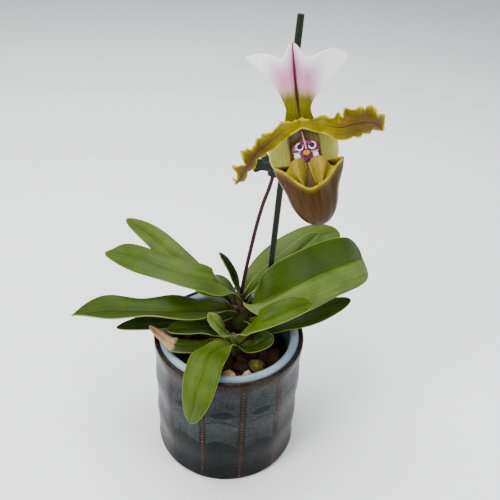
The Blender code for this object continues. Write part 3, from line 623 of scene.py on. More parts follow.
def petal_material(name, groups, flush):
    """Side petal: yellow-green, flushed brown-purple about its dark midvein, with a clear yellow crisped edge."""
    w = Paint(name, groups)
    along, across, edge = w.marks()
    tissue = w.tissue((0.240, 0.200, 0.0003), (0.060, 0.048, 0.0002), 1.3, 0.08, 150.0)
    streaks = w.noise(w.vector(w.times(along, 7.0), w.times(across, 0.9), 0.0), 1.5, 4.0)
    brown = w.mix(streaks, (0.030, 0.007, 0.002), (0.110, 0.050, 0.007))
    base = w.over(tissue["Colour"], brown, w.step(edge, 0.6, 3.2), w.step(along, 0.12, flush),
                  w.step(streaks, 0.2, 0.7, 0.55, 0.95))
    vein = w.step(w.absolute(across), 0.42, 0.12)
    base = w.over(base, (0.040, 0.004, 0.012), vein, w.step(along, 0.1, 0.35))
    base = w.over(base, (0.44, 0.38, 0.004), w.step(edge, 1.0, 0.2), 0.8)
    return w.done(base, (tissue["Mottle"], 0.3, 0.8, 0.36, 0.52), tissue["Height"], (0.35, 0.0003), 0.12)


def lower_sepal_material(groups):
    """Pale yellow-green shield with faint green veins."""
    w = Paint("lower_sepal_pale", groups)
    edge = w.marks()[2]
    tissue = w.tissue((0.52, 0.50, 0.11), (0.34, 0.34, 0.045), 2.1, 0.12, 120.0)
    base = w.over(tissue["Colour"], (0.58, 0.54, 0.12), w.step(edge, 1.2, 0.2), 0.5)
    return w.done(base, (tissue["Mottle"], 0.3, 0.8, 0.42, 0.56), tissue["Height"])


def pouch_material(groups):
    """Outside of the slipper: brown-olive with long veins, redder sides, a dark middle rib and a yellow rim."""
    w = Paint("pouch_brown_olive", groups)
    side_red, foot_red, rib_brown = (0.045, 0.011, 0.003), (0.050, 0.016, 0.008), (0.028, 0.006, 0.002)
    olive, yellow = (0.15, 0.105, 0.002), (0.38, 0.31, 0.005)
    along, turn, _ = w.marks()
    veins = w.noise(w.vector(w.times(turn, 5.5), w.times(along, 1.1), 0.0), 1.6, 4.0, 0.6)
    fine = w.noise(w.here(), 900.0, 3.0, 0.6)
    base = w.mix(w.step(veins, 0.15, 0.9), (0.020, 0.0066, 0.0001), (0.058, 0.028, 0.0001))
    base = w.over(base, side_red, w.step(w.absolute(w.minus(turn, 0.15)), 0.6, 1.9), 0.5)
    base = w.over(base, foot_red, w.step(along, 0.3, 0.0), 0.5)
    rib = w.step(w.absolute(w.minus(turn, 0.1)), 0.06, 0.0)
    base = w.over(base, rib_brown, rib, w.step(along, 0.75, 0.45), 0.6)
    base = w.over(base, olive, w.step(along, 0.90, 0.99), 0.6)
    base = w.over(base, yellow, w.step(along, 0.975, 0.995), 0.9)
    return w.done(base, (fine, 0.3, 0.7, 0.30, 0.42), w.plus(veins, w.times(fine, 0.3)), (0.3, 0.0004), 0.14)


def pouch_inside_material(groups):
    """Inside of the slipper: buff, thickly spotted dark maroon, darkest in the ears."""
    w = Paint("pouch_inside_spotted", groups)
    along, turn, _ = w.marks()
    spots = w.spots(1700.0, 1.0)
    ground = w.mix(w.step(along, 0.6, 0.95), (0.25, 0.155, 0.026), (0.32, 0.23, 0.014))
    base = w.over(ground, (0.012, 0.002, 0.003), spots, w.step(along, 0.98, 0.8))
    base = w.over(base, (0.022, 0.003, 0.002), w.step(w.absolute(turn), 0.95, 1.5), w.step(along, 0.98, 0.9), 0.8)
    return w.done(base, (spots, 0.0, 1.0, 0.5, 0.35))


def lobe_material(groups):
    """In-turned lobe of the lip, from its rim in: yellow, a dark brown hollow that is partly its own colour and partly
    painted shade, a yellow flap, buff, a pale slit edge.
    """
    w = Paint("lip_lobe_buff", groups)
    across = w.marks()[1]
    tissue = w.tissue((0.30, 0.225, 0.020), (0.165, 0.115, 0.007), 1.6, 0.12, 200.0)
    uneven = w.plus(across, w.times(w.noise(w.here(), 500.0), 1.2))
    # The hollow's dark brown: partly the lobe's own colour, partly painted shade where the lobe sinks in by the rim
    hollow = w.mix(w.step(tissue["Mottle"], 0.3, 0.7), (0.016, 0.0030, 0.001), (0.060, 0.018, 0.004))
    base = w.over(tissue["Colour"], (0.55, 0.44, 0.10), w.step(across, 7.6, 7.95))
    base = w.over(base, (0.36, 0.29, 0.003), w.step(uneven, 2.6, 3.1), w.step(uneven, 4.6, 3.8), 0.85)
    base = w.over(base, hollow, w.step(uneven, 3.0, 2.4))
    base = w.over(base, (0.32, 0.25, 0.003), w.step(uneven, 1.1, 0.7))
    return w.done(base, (tissue["Mottle"], 0.3, 0.8, 0.44, 0.6), tissue["Height"], mirror=0.15)


def flesh_material(name, groups, light, dark, roughness, spots=0.0, down=0.0):
    """A small fleshy part: mottled colour, optional fine maroon spots and the sheen of a fine down."""
    w = Paint(name, groups)
    flesh = w.wear(dark, light, 260.0, 1500.0, 0.35)
    base = flesh["Colour"]
    if spots:
        base = w.over(base, (0.06, 0.01, 0.02), w.spots(1600.0, spots), 0.85)
    w.shader["Sheen Weight"].default_value = down
    return w.done(base, (flesh["Height"], 0.3, 0.7, roughness, roughness + 0.12), flesh["Height"], mirror=0.25)


def staminode_material(groups):
    """Purple shield, mottled white, paling to white flares at its lower sides and dark about the boss."""
    w = Paint("staminode_purple_and_white", groups)
    _, x, y = w.marks()
    flesh = w.wear((0.030, 0.002, 0.014), (0.180, 0.016, 0.090), 420.0, 1500.0, 0.3)
    mottle = w.step(w.noise(w.here(), 700.0, 3.0), 0.55, 0.66)
    base = w.over(flesh["Colour"], (0.62, 0.36, 0.48), mottle, 0.6)
    wide = w.plus(w.absolute(x), w.times(w.noise(w.here(), 600.0), 1.6))
    base = w.over(base, (0.86, 0.76, 0.80), w.step(wide, 3.4, 4.6), w.step(y, 0.2, -1.8))
    near_boss = w.step(w.plus(w.times(x, x), w.times(y, y)), 7.0, 3.5)
    base = w.over(base, (0.040, 0.002, 0.018), near_boss, 0.8)
    return w.done(base, (flesh["Height"], 0.3, 0.7, 0.34, 0.46), flesh["Height"], (0.4, 0.0003), 0.25)


def hood_material(groups):
    """Dark olive under the petals, partly their hairy bases' own colour and partly painted shade, paling to buff
    beside the shield, with fine darker veins.
    """
    w = Paint("hood_olive_and_shade", groups)
    along = w.marks()[0]
    tissue = w.tissue((0.110, 0.076, 0.003), (0.045, 0.028, 0.001), 1.5, 0.5, 260.0)
    base = w.over(tissue["Colour"], (0.24, 0.165, 0.010), w.step(along, 0.35, 0.75), 0.85)
    return w.done(base, (tissue["Mottle"], 0.3, 0.8, 0.45, 0.6), tissue["Height"])


def crown_material(groups):
    """Wrapped leaf bases: green below, streaked and spotted dark maroon above."""
    w = Paint("crown_spotted_green", groups)
    streak = w.noise(w.drawn_out(w.here(), 0.16), 900.0, 3.0, 0.6)
    green = w.step(w.plus(w.split(w.here())[2], w.times(streak, 0.008)), 0.097, 0.089)
    base = w.mix(w.step(streak, 0.35, 0.65), (0.016, 0.006, 0.005), (0.075, 0.060, 0.014))
    base = w.over(base, w.mix(w.step(streak, 0.3, 0.7), (0.022, 0.036, 0.002), (0.065, 0.095, 0.008)), green)
    base = w.over(base, (0.022, 0.003, 0.007), w.spots(1900.0, 1.35), w.minus(1.0, w.times(green, 0.7)))
    return w.done(base, (streak, 0.3, 0.7, 0.4, 0.6), streak, (0.4, 0.0004))


def glaze_material(groups):
    """Reactive glaze in three bands, brown where it runs thin, with teal brush strokes, flecks and pits."""
    w = Paint("glaze_teal_and_rust", groups)
    where = w.here()
    x, y, z = w.split(where)
    turn = w.math("ARCTAN2", x, w.times(y, -1.0))
    rows = w.times(w.minus(turn, math.radians(BEAD_OFFSET)), BEAD_ROWS / math.tau)
    seam = w.absolute(w.minus(w.math("FRACT", w.plus(rows, 0.5)), 0.5))
    panel = w.step(seam, 0.06, 0.12)
    height = w.math("DIVIDE", z, POT_HEIGHT * MM)
    streak = w.noise(w.drawn_out(w.vector(w.times(turn, POT_FOOT_RADIUS * MM), 0.0, z), 0.12), 700.0, 5.0, 0.65)
    cloud = w.noise(where, 55.0, 5.0, 0.6)

    # Three bands, each with a sagging edge that bows between the seams
    low = w.wear((0.0004, 0.0009, 0.0010), (0.0042, 0.0074, 0.0082), 110.0, 1300.0, 0.6)
    middle = w.wear((0.0040, 0.0065, 0.0072), (0.027, 0.037, 0.040), 130.0, 1200.0, 0.6)
    upper = w.wear((0.0025, 0.0036, 0.0040), (0.025, 0.033, 0.036), 90.0, 1100.0, 0.6)
    sag = w.times(w.minus(w.noise(where, 30.0, 2.0), 0.5), 0.10)
    bow = w.times(w.math("POWER", w.minus(0.5, seam), 2.0), 0.25)
    ragged = w.plus(height, bow, sag, w.times(cloud, 0.03))
    base = w.over(low["Colour"], middle["Colour"], w.step(ragged, 0.43, 0.44), panel)
    base = w.over(base, upper["Colour"], w.step(ragged, 0.66, 0.67), panel)
    base = w.over(base, (0.0022, 0.0013, 0.0010), w.step(streak, 0.5, 0.62),
                  w.step(height, 0.52, 0.40, 0.25, 0.55))

    # Rust where the glaze runs thin, and the dark lip
    rust = w.mix(w.noise(where, 600.0, 4.0, 0.7), (0.003, 0.0012, 0.0008), (0.028, 0.0115, 0.0055))
    base = w.over(base, rust, w.step(seam, 0.085, 0.03), w.step(cloud, 0.25, 0.5), 0.92)
    base = w.over(base, rust, w.step(w.noise(where, 38.0, 4.0, 0.6), 0.52, 0.7), 0.45)
    dark_lip = w.mix(w.noise(where, 420.0, 4.0, 0.7), (0.003, 0.0018, 0.0015), (0.022, 0.010, 0.006))
    base = w.over(base, dark_lip, w.step(ragged, 0.925, 0.965))

    # One teal brush stroke in each upper panel, and the ledge under it
    tall = w.math("DIVIDE", w.absolute(w.minus(w.plus(height, sag), 0.715)), 0.034)
    long_ = w.math("POWER", w.math("DIVIDE", w.minus(0.5, seam), 0.33), 2.0)
    rough = w.times(w.minus(w.noise(where, 260.0, 3.0), 0.5), 0.9)
    stroke = w.step(w.plus(tall, long_, rough), 1.15, 0.75)
    base = w.over(base, (0.0008, 0.0050, 0.0080), stroke, 0.92)
    ledge = w.step(w.absolute(w.minus(ragged, 0.662)), 0.014, 0.005)
    base = w.over(base, (0.0025, 0.0014, 0.0010), ledge, panel, 0.8)

    base = w.over(base, (0.060, 0.050, 0.038), w.spots(900.0, 0.55), 0.5)
    fleck = w.mix(w.step(height, 0.42, 0.5), (0.016, 0.024, 0.026), (0.060, 0.078, 0.083))
    base = w.over(base, fleck, w.spots(1600.0, 0.95), panel, w.step(stroke, 0.2, 0.8, 0.6, 0.0))
    relief = w.plus(w.times(low["Height"], 0.5), w.times(streak, 0.3))
    relief = w.minus(relief, w.plus(w.times(stroke, 0.6), w.times(ledge, 0.4)))
    return w.done(base, (low["Height"], 0.35, 0.65, 0.18, 0.34), relief, (0.35, 0.0006), 0.08)


def grain_material(name, groups, first, second, roughness, blotch=120.0, grain=1200.0, share=0.4,
                   bump=(0.35, 0.0005), tinted=None):
    """Blotched and grained: plastic, bark, stone, beads and the stake. A tint shows in some bark chips."""
    w = Paint(name, groups)
    wear = w.wear(first, second, blotch, grain, share)
    base = wear["Colour"]
    if tinted:
        base = w.over(base, w.mix(0.65, base, tinted), w.step(w.marks("chip_tone")[0], 0.0, 1.0))
    rough = (wear["Height"], 0.35, 0.65, roughness, min(1.0, roughness + 0.15))
    return w.done(base, rough, wear["Height"], bump, 0.18)


# Leaves


def leaf_width(u, blunt, foot_share, swell):
    """Share of a leaf's full width at u: narrow at the foot, widest past the middle, rounded to the tip."""
    foot = foot_share + (1.0 - foot_share) * smooth(u / swell)
    tip = max(0.0, 1.0 - beyond(u, 0.56) ** (blunt + 0.5)) ** 0.55
    return max(0.02, foot * tip)


def leaf_reach(leaf, u, v):
    """u eased towards the tip, and the half width in mm there, on the side that v lies on."""
    half = leaf["width"] / 2.0
    eased = 1.0 - (1.0 - beyond(u, CLASP_SHARE)) ** 1.25
    half *= 1.0 + leaf.get("sway", 0.0) * math.sin(eased * 11.0 - 1.2) * (1.0 if v > 0.0 else 0.35)
    swell = leaf.get("far_swell" if v < 0.0 else "near_swell", 0.42)
    if "dry" in leaf:
        half *= 1.0 - 0.42 * smooth((eased - leaf["dry"]) / 0.12)
    foot_share = min(0.8, leaf.get("foot", LEAF_FOOT_HALF) / half)
    return eased, half * leaf_width(eased, leaf["blunt"], foot_share, swell)


def nearest_crown(point):
    """The crown that a leaf's foot belongs to."""
    return min((MAIN_CROWN, FRONT_CROWN), key=lambda centre: math.hypot(centre.x - point.x, centre.y - point.y))


def leaf_place(leaf, seed):
    """place(u, v) for one leaf's blade, with a creased midrib, a soft crown to each half and gentle dimples."""
    points = vectors(leaf["midrib"])
    lean, fold = math.radians(leaf["lean"]), math.radians(leaf["fold"])
    foot_fold = math.radians(leaf.get("foot_fold", FOOT_FOLD))
    heading = (points[-1] - points[0]).normalized() * leaf.get("steady", 0.0)
    crown = nearest_crown(points[0])
    core = points[0].lerp(Vector((crown.x, crown.y, points[0].z)), 0.7) - Vector((0.0, 0.0, 5.0))

    def place(u, v):
        eased, reach = leaf_reach(leaf, u, v)
        centre = spline_point(points, eased)
        along = spline_way(points, eased).normalized()
        side = (along + heading).cross(Vector((0.0, 0.0, 1.0)))
        side = (side - along * side.dot(along)).normalized()
        settle = smooth(eased / 0.30)
        side, face = turned(side, side.cross(along), -lean * settle)
        angle = foot_fold + (fold - foot_fold) * settle
        away = abs(v)
        lift = reach * away * math.sin(angle) - 0.12 * reach * v * v * settle
        ripple = leaf["wave"] * v * v * math.sin(eased * 15.0 + (1.3 if v > 0 else 0.0)) * settle
        puff = 0.35 * math.sin(math.pi * away) * settle * min(1.0, reach / 8.0)
        crease = -0.6 * hump(away * reach, 0.7) * smooth(eased * 5.0) * smooth((1.0 - eased) * 6.0)
        dimple = 0.22 * noise.noise(Vector((eased * 9.0, v * 1.6, seed))) * settle
        if u < CLASP_SHARE:
            clasp = smooth(u / CLASP_SHARE)
            centre = core.lerp(points[0], clasp)
            reach *= 0.7 + 0.3 * clasp
        return centre + side * (v * reach * math.cos(angle)) + face * (lift + ripple + puff + crease + dimple)

    return place


def make_leaf(name, leaf, seed, groups):
    """One strap leaf."""
    def mark(u, v):
        eased, reach = leaf_reach(leaf, u, v)
        return blade_mark(eased, v, reach)

    mesh = thin_sheet(name, leaf_place(leaf, seed), 72, 20, LEAF_THICKNESS, mark)
    slot = {"leaf_dry_tip": "dry_tip_leaf", "leaf_young": "young_leaf"}.get(name, "leaf")
    finish_piece(name + "_blade", mesh, [leaf_material(name + "_green", leaf, groups)], [name], slot)


# Bloom


def bloom_matrix():
    """Turns the bloom's own mm into the plant's mm."""
    front = Vector((
        math.sin(BLOOM_TURN) * math.cos(BLOOM_LIFT),
        -math.cos(BLOOM_TURN) * math.cos(BLOOM_LIFT),
        math.sin(BLOOM_LIFT),
    ))
    level = Vector((math.cos(BLOOM_TURN), math.sin(BLOOM_TURN), 0.0))
    right, up = turned(level, front.cross(level), BLOOM_LEAN)
    return standing(BLOOM_CENTRE, right, up, front)


BLOOM = bloom_matrix()


def bloom_sheet(name, place, rows, columns, thickness, mark):
    """A thin sheet whose place(u, v) is in the bloom's mm."""
    return thin_sheet(name, lambda u, v: BLOOM @ Vector(place(u, v)), rows, columns, thickness, mark)


def bloom_curve(points, steps):
    """Points evenly along a curve that is given in the bloom's mm."""
    return [BLOOM @ point for point in curve(points, steps)]


def dorsal_half(u, v):
    """Half width of the dorsal sepal at u, on the side of v."""
    if v < 0.0:
        flare = 15.3 * beyond(u, 0.3) ** 1.75
    else:
        flare = 9.8 * smooth((u - 0.36) / 0.60) + 10.8 * beyond(u, 0.34) ** 1.6
    return 4.6 + 2.9 * smooth(u / 0.12) - 1.6 * smooth((u - 0.08) / 0.26) + flare


def dorsal_mark(u, v):
    """As blade_mark, with the sepal's top counted as an edge too."""
    along, across, edge = blade_mark(u, v, dorsal_half(u, v))
    return along, across, min(edge, (1.0 - u) * 40.0)


def dorsal_sepal(u, v):
    """The upright sepal: a waisted base that spreads into two swept-back wings, with a point between."""
    away = abs(v)
    dip = -6.6 * smooth(away / 0.25) + 2.0 * smooth((away - 0.25) / 0.35) - 1.4 * smooth((away - 0.7) / 0.3)
    right_wing = 0.7 * smooth((v - 0.35) / 0.4) - 2.4 * beyond(v, 0.8) ** 2.2
    top = DORSAL_TOP + dip - 2.6 * v + right_wing
    x = v * dorsal_half(u, v)
    arch = -4.5 + 10.5 * u * u - 1.2 * math.sin(math.pi * u)
    roll_back = 0.014 * x * x
    groove = 0.5 * hump(x, 1.2)
    ripple = 0.35 * math.sin(v * 9.0 + u * 4.0) * u * away
    return x - 0.7 - 1.4 * u, DORSAL_FOOT + (top - DORSAL_FOOT) * u, arch - roll_back - groove + ripple


def petal_half(u, half_width):
    """Half width of a side petal at u."""
    swell = 2.1 + 1.1 * smooth(u / 0.16) + (half_width - 3.2) * smooth((u - 0.05) / 0.45)
    return swell * max(0.06, 1.0 - beyond(u, 0.6) ** 2.0)


def petal(side, droop, half_width, twist):
    """One side petal, bowed out, twisted along its length, its upper edge crisped in close ruffles."""
    route = vectors(droop)

    def place(u, v):
        ahead = spline_way(route, u)
        across = Vector((-ahead.y, ahead.x, 0.0)).normalized() * side
        turn = math.radians(-18.0 + twist * smooth(u / 0.6))
        across, face = turned(across, Vector((0.0, 0.0, 1.0)), turn)
        half = petal_half(u, half_width)
        upper = v > 0
        edge = abs(v) ** 2.2 * smooth((1.02 - u) / 0.16)
        crisp = abs(v) ** 5
        ruffle = math.sin(u * 33.0 + side) * edge * (2.5 if upper else 1.1) * smooth(u / 0.05)
        frill = math.sin(u * 96.0 + 3.0 * math.sin(u * 11.0)) * crisp * smooth(u / 0.06) * (0.95 if upper else 0.3)
        if upper:
            spread = 1.0 + 0.20 * math.sin(u * 44.0 + 1.0) * edge + 0.05 * math.sin(u * 118.0) * crisp
        else:
            spread = 1.0 + 0.05 * math.sin(u * 25.0) * edge
        curl_back = -0.18 * half * v * v
        rib = -0.25 * hump(v * half, 0.5)
        return spline_point(route, u) + across * (v * half * spread) + face * (ruffle + frill + curl_back + rib)

    return place


def lower_sepal_half(u):
    """Half width of the lower sepal at u."""
    return LOWER_SEPAL_HALF * (0.28 * smooth(u / 0.14) + 0.72) * max(0.03, 1.0 - beyond(u, 0.34) ** 1.5)


def lower_sepal(u, v):
    """The two lower sepals, grown together into one pale shield behind the pouch, notched round the column."""
    x = v * lower_sepal_half(u)
    top = 0.15 + 7.4 * smooth((abs(x - 0.4) - 3.2) / 7.0)
    y = top + (LOWER_SEPAL_FOOT - top) * u
    return x - 0.4, y, -9.6 + 0.006 * x * x + 4.0 * u * u + 0.3 * math.sin(x * 0.5) * u


def pouch_rim(turn):
    """Height and flare of the pouch's rim: a notch in front, an ear at each side and a raised back."""
    front, beside = math.cos(turn), abs(math.sin(turn))
    height = -13.4 + 7.0 * smooth(beside ** 2.4) if front > 0.0 else -6.4 - 2.2 * smooth(-front)
    height += 0.4 * beside ** 10 - 2.2 * hump(turn + 0.12, 0.34)
    return height, 0.205 * beside ** 6


def pouch(u, v):
    """The slipper: a bag that hangs from a flared rim, u from its foot to the rim and v once round."""
    turn = v * math.pi
    height, flare = pouch_rim(turn)
    y = POUCH_FOOT + (height - POUCH_FOOT) * u ** 1.35
    full = min(1.0, (y - POUCH_FOOT) / (POUCH_SHOULDER - POUCH_FOOT))
    swell = (1.0 - (1.0 - full) ** 2.3) ** 0.5 if u > 0.0 else 0.0
    half = POUCH_HALF * swell * (1.0 + flare * smooth((u - 0.6) / 0.4) * 1.6)
    centre = 5.6 + 2.0 * (1.0 - full)
    rib = 0.12 * math.sin(turn * 14.0) * swell * smooth((1.0 - u) * 4.0)
    lean = 1.9 * max(0.0, (-10.0 - y) / 27.0) ** 2 - 0.5
    return lean + (half + rib) * math.sin(turn), y, centre + (POUCH_DEPTH * swell + rib) * math.cos(turn)


def pouch_lobe(side):
    """An inrolled side lobe of the lip: from inside the ear it curls across the mouth to the slit's edge."""
    def place(u, v):
        drop = (v + 1.0) / 2.0
        rim = Vector(pouch(1.0, side * (1.78 - 1.12 * drop) / math.pi))
        slit = Vector((SLIT_X + side * (0.5 + 2.2 * drop ** 1.5), -4.2 - 12.2 * drop, 2.8 + 4.6 * drop))
        point = rim.lerp(slit, u)
        belly = math.sin(math.pi * smooth((u - 0.35) / 0.65))
        sunk = 4.2 * math.sin(math.pi * min(1.0, u / 0.55)) ** 1.3 * (1.0 - 0.35 * drop)
        point.y += 1.5 * belly * (1.0 - drop) - sunk
        point.z += (2.0 + 0.6 * drop) * belly - 1.2 * smooth((u - 0.88) / 0.12)
        return point

    return place


def lip_back_wall(u, v):
    """The spotted wall that runs down into the slipper behind the slit."""
    return SLIT_X + v * (2.6 + 2.4 * u), -4.6 - 14.0 * u, 1.2 + 4.4 * u - 0.8 * v * v


def staminode(u, v):
    """The shield on the column's front: domed, broad above and narrowed below, notched at the top, wavy edged."""
    angle = v * math.pi
    up, down = max(0.0, math.sin(angle)), max(0.0, -math.sin(angle))
    notch = 1.0 - 0.20 * hump(angle - math.pi / 2.0, 0.30)
    x = math.cos(angle) * 6.5 * u * (1.0 - 0.30 * up ** 2 - 0.42 * down ** 1.6) * notch
    y = math.sin(angle) * (4.3 + 1.9 * down) * u * notch
    wave = 0.35 * math.sin(angle * 7.0) * u ** 4
    return COLUMN_X + x, 0.4 + y, 3.4 + 1.0 * (1.0 - u * u) + wave - 0.5 * u ** 6


def staminode_mark(u, v):
    """For the shield's colours: mm across and up from its boss."""
    x, y, _ = staminode(u, v)
    return u, x - COLUMN_X, y + 0.2


def ring_mesh(centre, radius, wire, start, sweep):
    """A curled rim in the bloom's mm, facing its front, thinning to its ends."""
    count = 22
    points, radii = [], []
    for k in range(count + 1):
        angle = math.radians(start + sweep * k / count)
        points.append(BLOOM @ (Vector(centre) + Vector((math.cos(angle), math.sin(angle), 0.0)) * radius))
        radii.append(wire * (0.45 + 0.55 * math.sin(math.pi * k / count) ** 0.5))
    return tube_mesh("rim", points, radii, 10)


def hood(u, v):
    """The hollow behind the column, arched over its shield and open to the front."""
    wide = (7.4 + 0.8 * u) * math.sqrt(1.0 - 0.5 * (1.0 - smooth(u * 3.0)))
    return COLUMN_X + v * wide, 11.4 - 18.4 * u - 1.4 * v * v * (1.0 - u), -4.4 + 3.4 * v * v + 2.2 * u


def make_bloom(groups):
    """The bloom, piece by piece."""
    mesh = bloom_sheet("dorsal", dorsal_sepal, 90, 90, 0.7, dorsal_mark)
    finish_piece("dorsal_sepal_wings", mesh, [sepal_material(groups)], ["dorsal_sepal"], "sepal")
    for node, side, route, half_width, twist, flush in [
        ("petal_left", -1.0, LEFT_PETAL, 4.9, 52.0, 0.45), ("petal_right", 1.0, RIGHT_PETAL, 7.2, 30.0, 0.55)
    ]:
        def petal_mark(u, v, half_width=half_width):
            return blade_mark(u, v, petal_half(u, half_width))

        mesh = bloom_sheet(node, petal(side, route, half_width, twist), 240, 26, 0.6, petal_mark)
        skin = petal_material(node + "_yellow_green", groups, flush)
        finish_piece(node + "_ruffled", mesh, [skin], [node], "petal")
    mesh = bloom_sheet("lower_sepal", lower_sepal, 60, 60, 0.7,
                       lambda u, v: blade_mark(u, v, lower_sepal_half(u)))
    finish_piece("lower_sepal_shield", mesh, [lower_sepal_material(groups)], ["lower_sepal"], "lower_sepal")
    make_pouch(groups)
    make_column(groups)


def make_pouch(groups):
    """The slipper's bag with its rolled rim, its back wall, and the two lobes that turn into its mouth."""
    inside = pouch_inside_material(groups)
    bag = bloom_sheet("bag", pouch, 60, 120, 0.7, lambda u, v: (u, v * math.pi, 0.0))
    finish_piece("pouch_bag", bag, [pouch_material(groups), inside], ["pouch"], "pouch")
    count = 120
    rim = [BLOOM @ Vector(pouch(1.0, -1.0 + 2.0 * k / count)) for k in range(count + 1)]
    yellow = flesh_material("pouch_rim_yellow", groups, (0.36, 0.29, 0.004), (0.17, 0.13, 0.002), 0.3)
    finish_piece("pouch_rolled_rim", tube_mesh("roll", rim, [0.58] * (count + 1), 10), [yellow], [], "pouch")
    wall = bloom_sheet("wall", lip_back_wall, 30, 16, 0.5, lambda u, v: (0.2 + 0.5 * u, 0.3 * v, 0.0))
    finish_piece("lip_back_wall", wall, [inside], [], "pouch")
    buff = lobe_material(groups)
    for side, name in [(-1.0, "lip_lobe_left"), (1.0, "lip_lobe_right")]:
        mesh = bloom_sheet(name, pouch_lobe(side), 60, 40, 0.6, lambda u, v: (v, u * 8.0, 0.0))
        finish_piece(name, mesh, [buff], [], "pouch")


def make_column(groups):
    """The column: its shield with two curled white rims and a gold boss, and the pale line up to the hood."""
    green = flesh_material("column_green", groups, (0.10, 0.095, 0.006), (0.045, 0.040, 0.003), 0.45)
    white = flesh_material("staminode_white", groups, (0.90, 0.84, 0.86), (0.60, 0.42, 0.54), 0.4)
    gold = flesh_material("staminode_boss_gold", groups, (0.52, 0.27, 0.010), (0.26, 0.10, 0.004), 0.4)
    dark = flesh_material("staminode_hollow", groups, (0.03, 0.006, 0.015), (0.012, 0.003, 0.008), 0.3)
    pink = flesh_material("column_line_pink", groups, (0.62, 0.28, 0.40), (0.32, 0.07, 0.16), 0.45)

    spine = bloom_curve([(SLIT_X, 2.6, -9.8), (SLIT_X, 2.8, -5.0), (SLIT_X, 2.6, -0.5), (COLUMN_X, 1.4, 3.0)], 20)
    post = tube_mesh("post", spine, [2.0 + 0.2 * math.sin(k * 0.3) for k in range(21)], 24)
    finish_piece("column_post", post, [green], ["column"], "column")
    shield = bloom_sheet("shield", lambda u, v: staminode(max(u, 0.02), v), 24, 80, 0.7, staminode_mark)
    rims = [ring_mesh((COLUMN_X + s * 3.0, 2.3, 4.8), 1.6, 0.36, 90.0 + s * 10.0, 285.0 * -s) for s in (-1, 1)]
    wells = [ball_mesh((COLUMN_X + s * 2.9, 2.1, 4.3), (1.05 - 0.2 * s, 1.0, 0.45), BLOOM) for s in (-1, 1)]
    lobes = [ball_mesh((COLUMN_X + s * 4.4, -2.9, 3.5), (1.5, 1.25, 0.55), BLOOM, 0.4, s) for s in (-1, 1)]
    boss = ball_mesh((COLUMN_X, -0.9, 4.7), (1.65, 1.35, 0.9), BLOOM, 0.25, 4.0)
    # The hood: a sheet behind the column whose dark olive is partly the petal bases' colour and partly painted shade
    # under the petals
    arch = bloom_sheet("hood", hood, 30, 30, 0.7, lambda u, v: (u, v * 6.0, 0.0))
    path = bloom_curve([(COLUMN_X, 1.0, 5.1), (-1.1, 3.4, 4.4), (-1.4, 5.8, 2.6), (-1.6, 8.4, 1.2)], 12)
    line = tube_mesh("line", path, [0.55 - 0.03 * k for k in range(13)], 10)
    for name, mesh, skin in [
        ("staminode_shield", shield, staminode_material(groups)),
        ("staminode_rims", merged("rims", rims), white),
        ("staminode_hollows", merged("wells", wells), dark),
        ("staminode_side_lobes", merged("lobes", lobes), white),
        ("staminode_boss", boss, gold),
        ("column_hood", arch, hood_material(groups)),
        ("column_line", line, pink),
    ]:
        finish_piece(name, mesh, [skin], [], "column")


# Stem, ovary, bract, stake and clip


def make_stem(groups):
    """The downy flower stem, its ribbed ovary and the dotted bract between them."""
    steps = 90
    points = curve(STEM_ROUTE, steps)
    radii = [STEM_RADIUS * (1.06 - 0.10 * k / steps + 0.02 * math.sin(k * 0.7)) for k in range(steps + 1)]
    stem = merged("stem", [tube_mesh("stem", points, radii, 18), downy_hairs(points, radii, 900, 11)])
    maroon = flesh_material("stem_maroon", groups, (0.030, 0.0025, 0.006), (0.007, 0.0006, 0.0015), 0.5,
                            down=0.03)
    finish_piece("flower_stem_downy", stem, [maroon], ["flower_stem"], "stem")

    end, before = BLOOM @ Vector((SLIT_X, 2.6, -10.1)), BLOOM @ Vector((SLIT_X, 3.2, -16.0))
    below, top = vectors(STEM_ROUTE[-2:])
    aim = (top - below).normalized()
    start = top + aim * 0.3
    steps = 60
    bend = (start + before) / 2.0 + Vector((0.0, 1.5, 5.5))
    points = curve([start, start + aim * 7.0, bend, before, end], steps)
    radii = [1.25 + 0.75 * math.sin(math.pi * min(1.0, k / steps * 0.9 + 0.05)) for k in range(steps + 1)]
    ribs = tube_mesh("ovary", points, radii, 36,
                     lambda share, angle: 1.0 + 0.09 * math.cos(6.0 * angle) * (1.0 - share))
    skin = flesh_material("ovary_maroon_green", groups, (0.060, 0.028, 0.009), (0.018, 0.004, 0.004), 0.5,
                          down=0.03)
    finish_piece("ovary_ribbed", ribs, [skin], ["ovary"], "stem")

    dotted = flesh_material("bract_dotted", groups, (0.13, 0.15, 0.022), (0.06, 0.075, 0.010), 0.45, spots=0.6)
    mesh = thin_sheet("bract", bract, 36, 30, 0.6, lambda u, v: (u, v, 0.0))
    finish_piece("bract_sheath", mesh, [dotted], ["bract"], "bract")


def downy_hairs(points, radii, count, seed):
    """Short fine hairs that stand off a stem."""
    draw = random.Random(seed)
    body = bmesh.new()
    body.verts.layers.float_vector.new("blade")
    last = len(points) - 2
    for _ in range(count):
        k = draw.randint(1, last)
        along = (points[k + 1] - points[k - 1]).normalized()
        side = along.orthogonal().normalized()
        side.rotate(Matrix.Rotation(draw.uniform(0.0, math.tau), 3, along))
        foot = points[k].lerp(points[k + 1], draw.random()) + side * radii[k] * 0.96
        tip = foot + (side + along * draw.uniform(-0.2, 0.5)).normalized() * draw.uniform(0.25, 0.5)
        wide = side.cross(along) * 0.045
        ring = [body.verts.new((foot + offset) * MM) for offset in (wide, -wide, along * 0.05)]
        point = body.verts.new(tip * MM)
        body.faces.new(ring)
        for j in range(3):
            body.faces.new((ring[j], ring[(j + 1) % 3], point))
    outward(body)
    return ended(body, "down", soft=False)


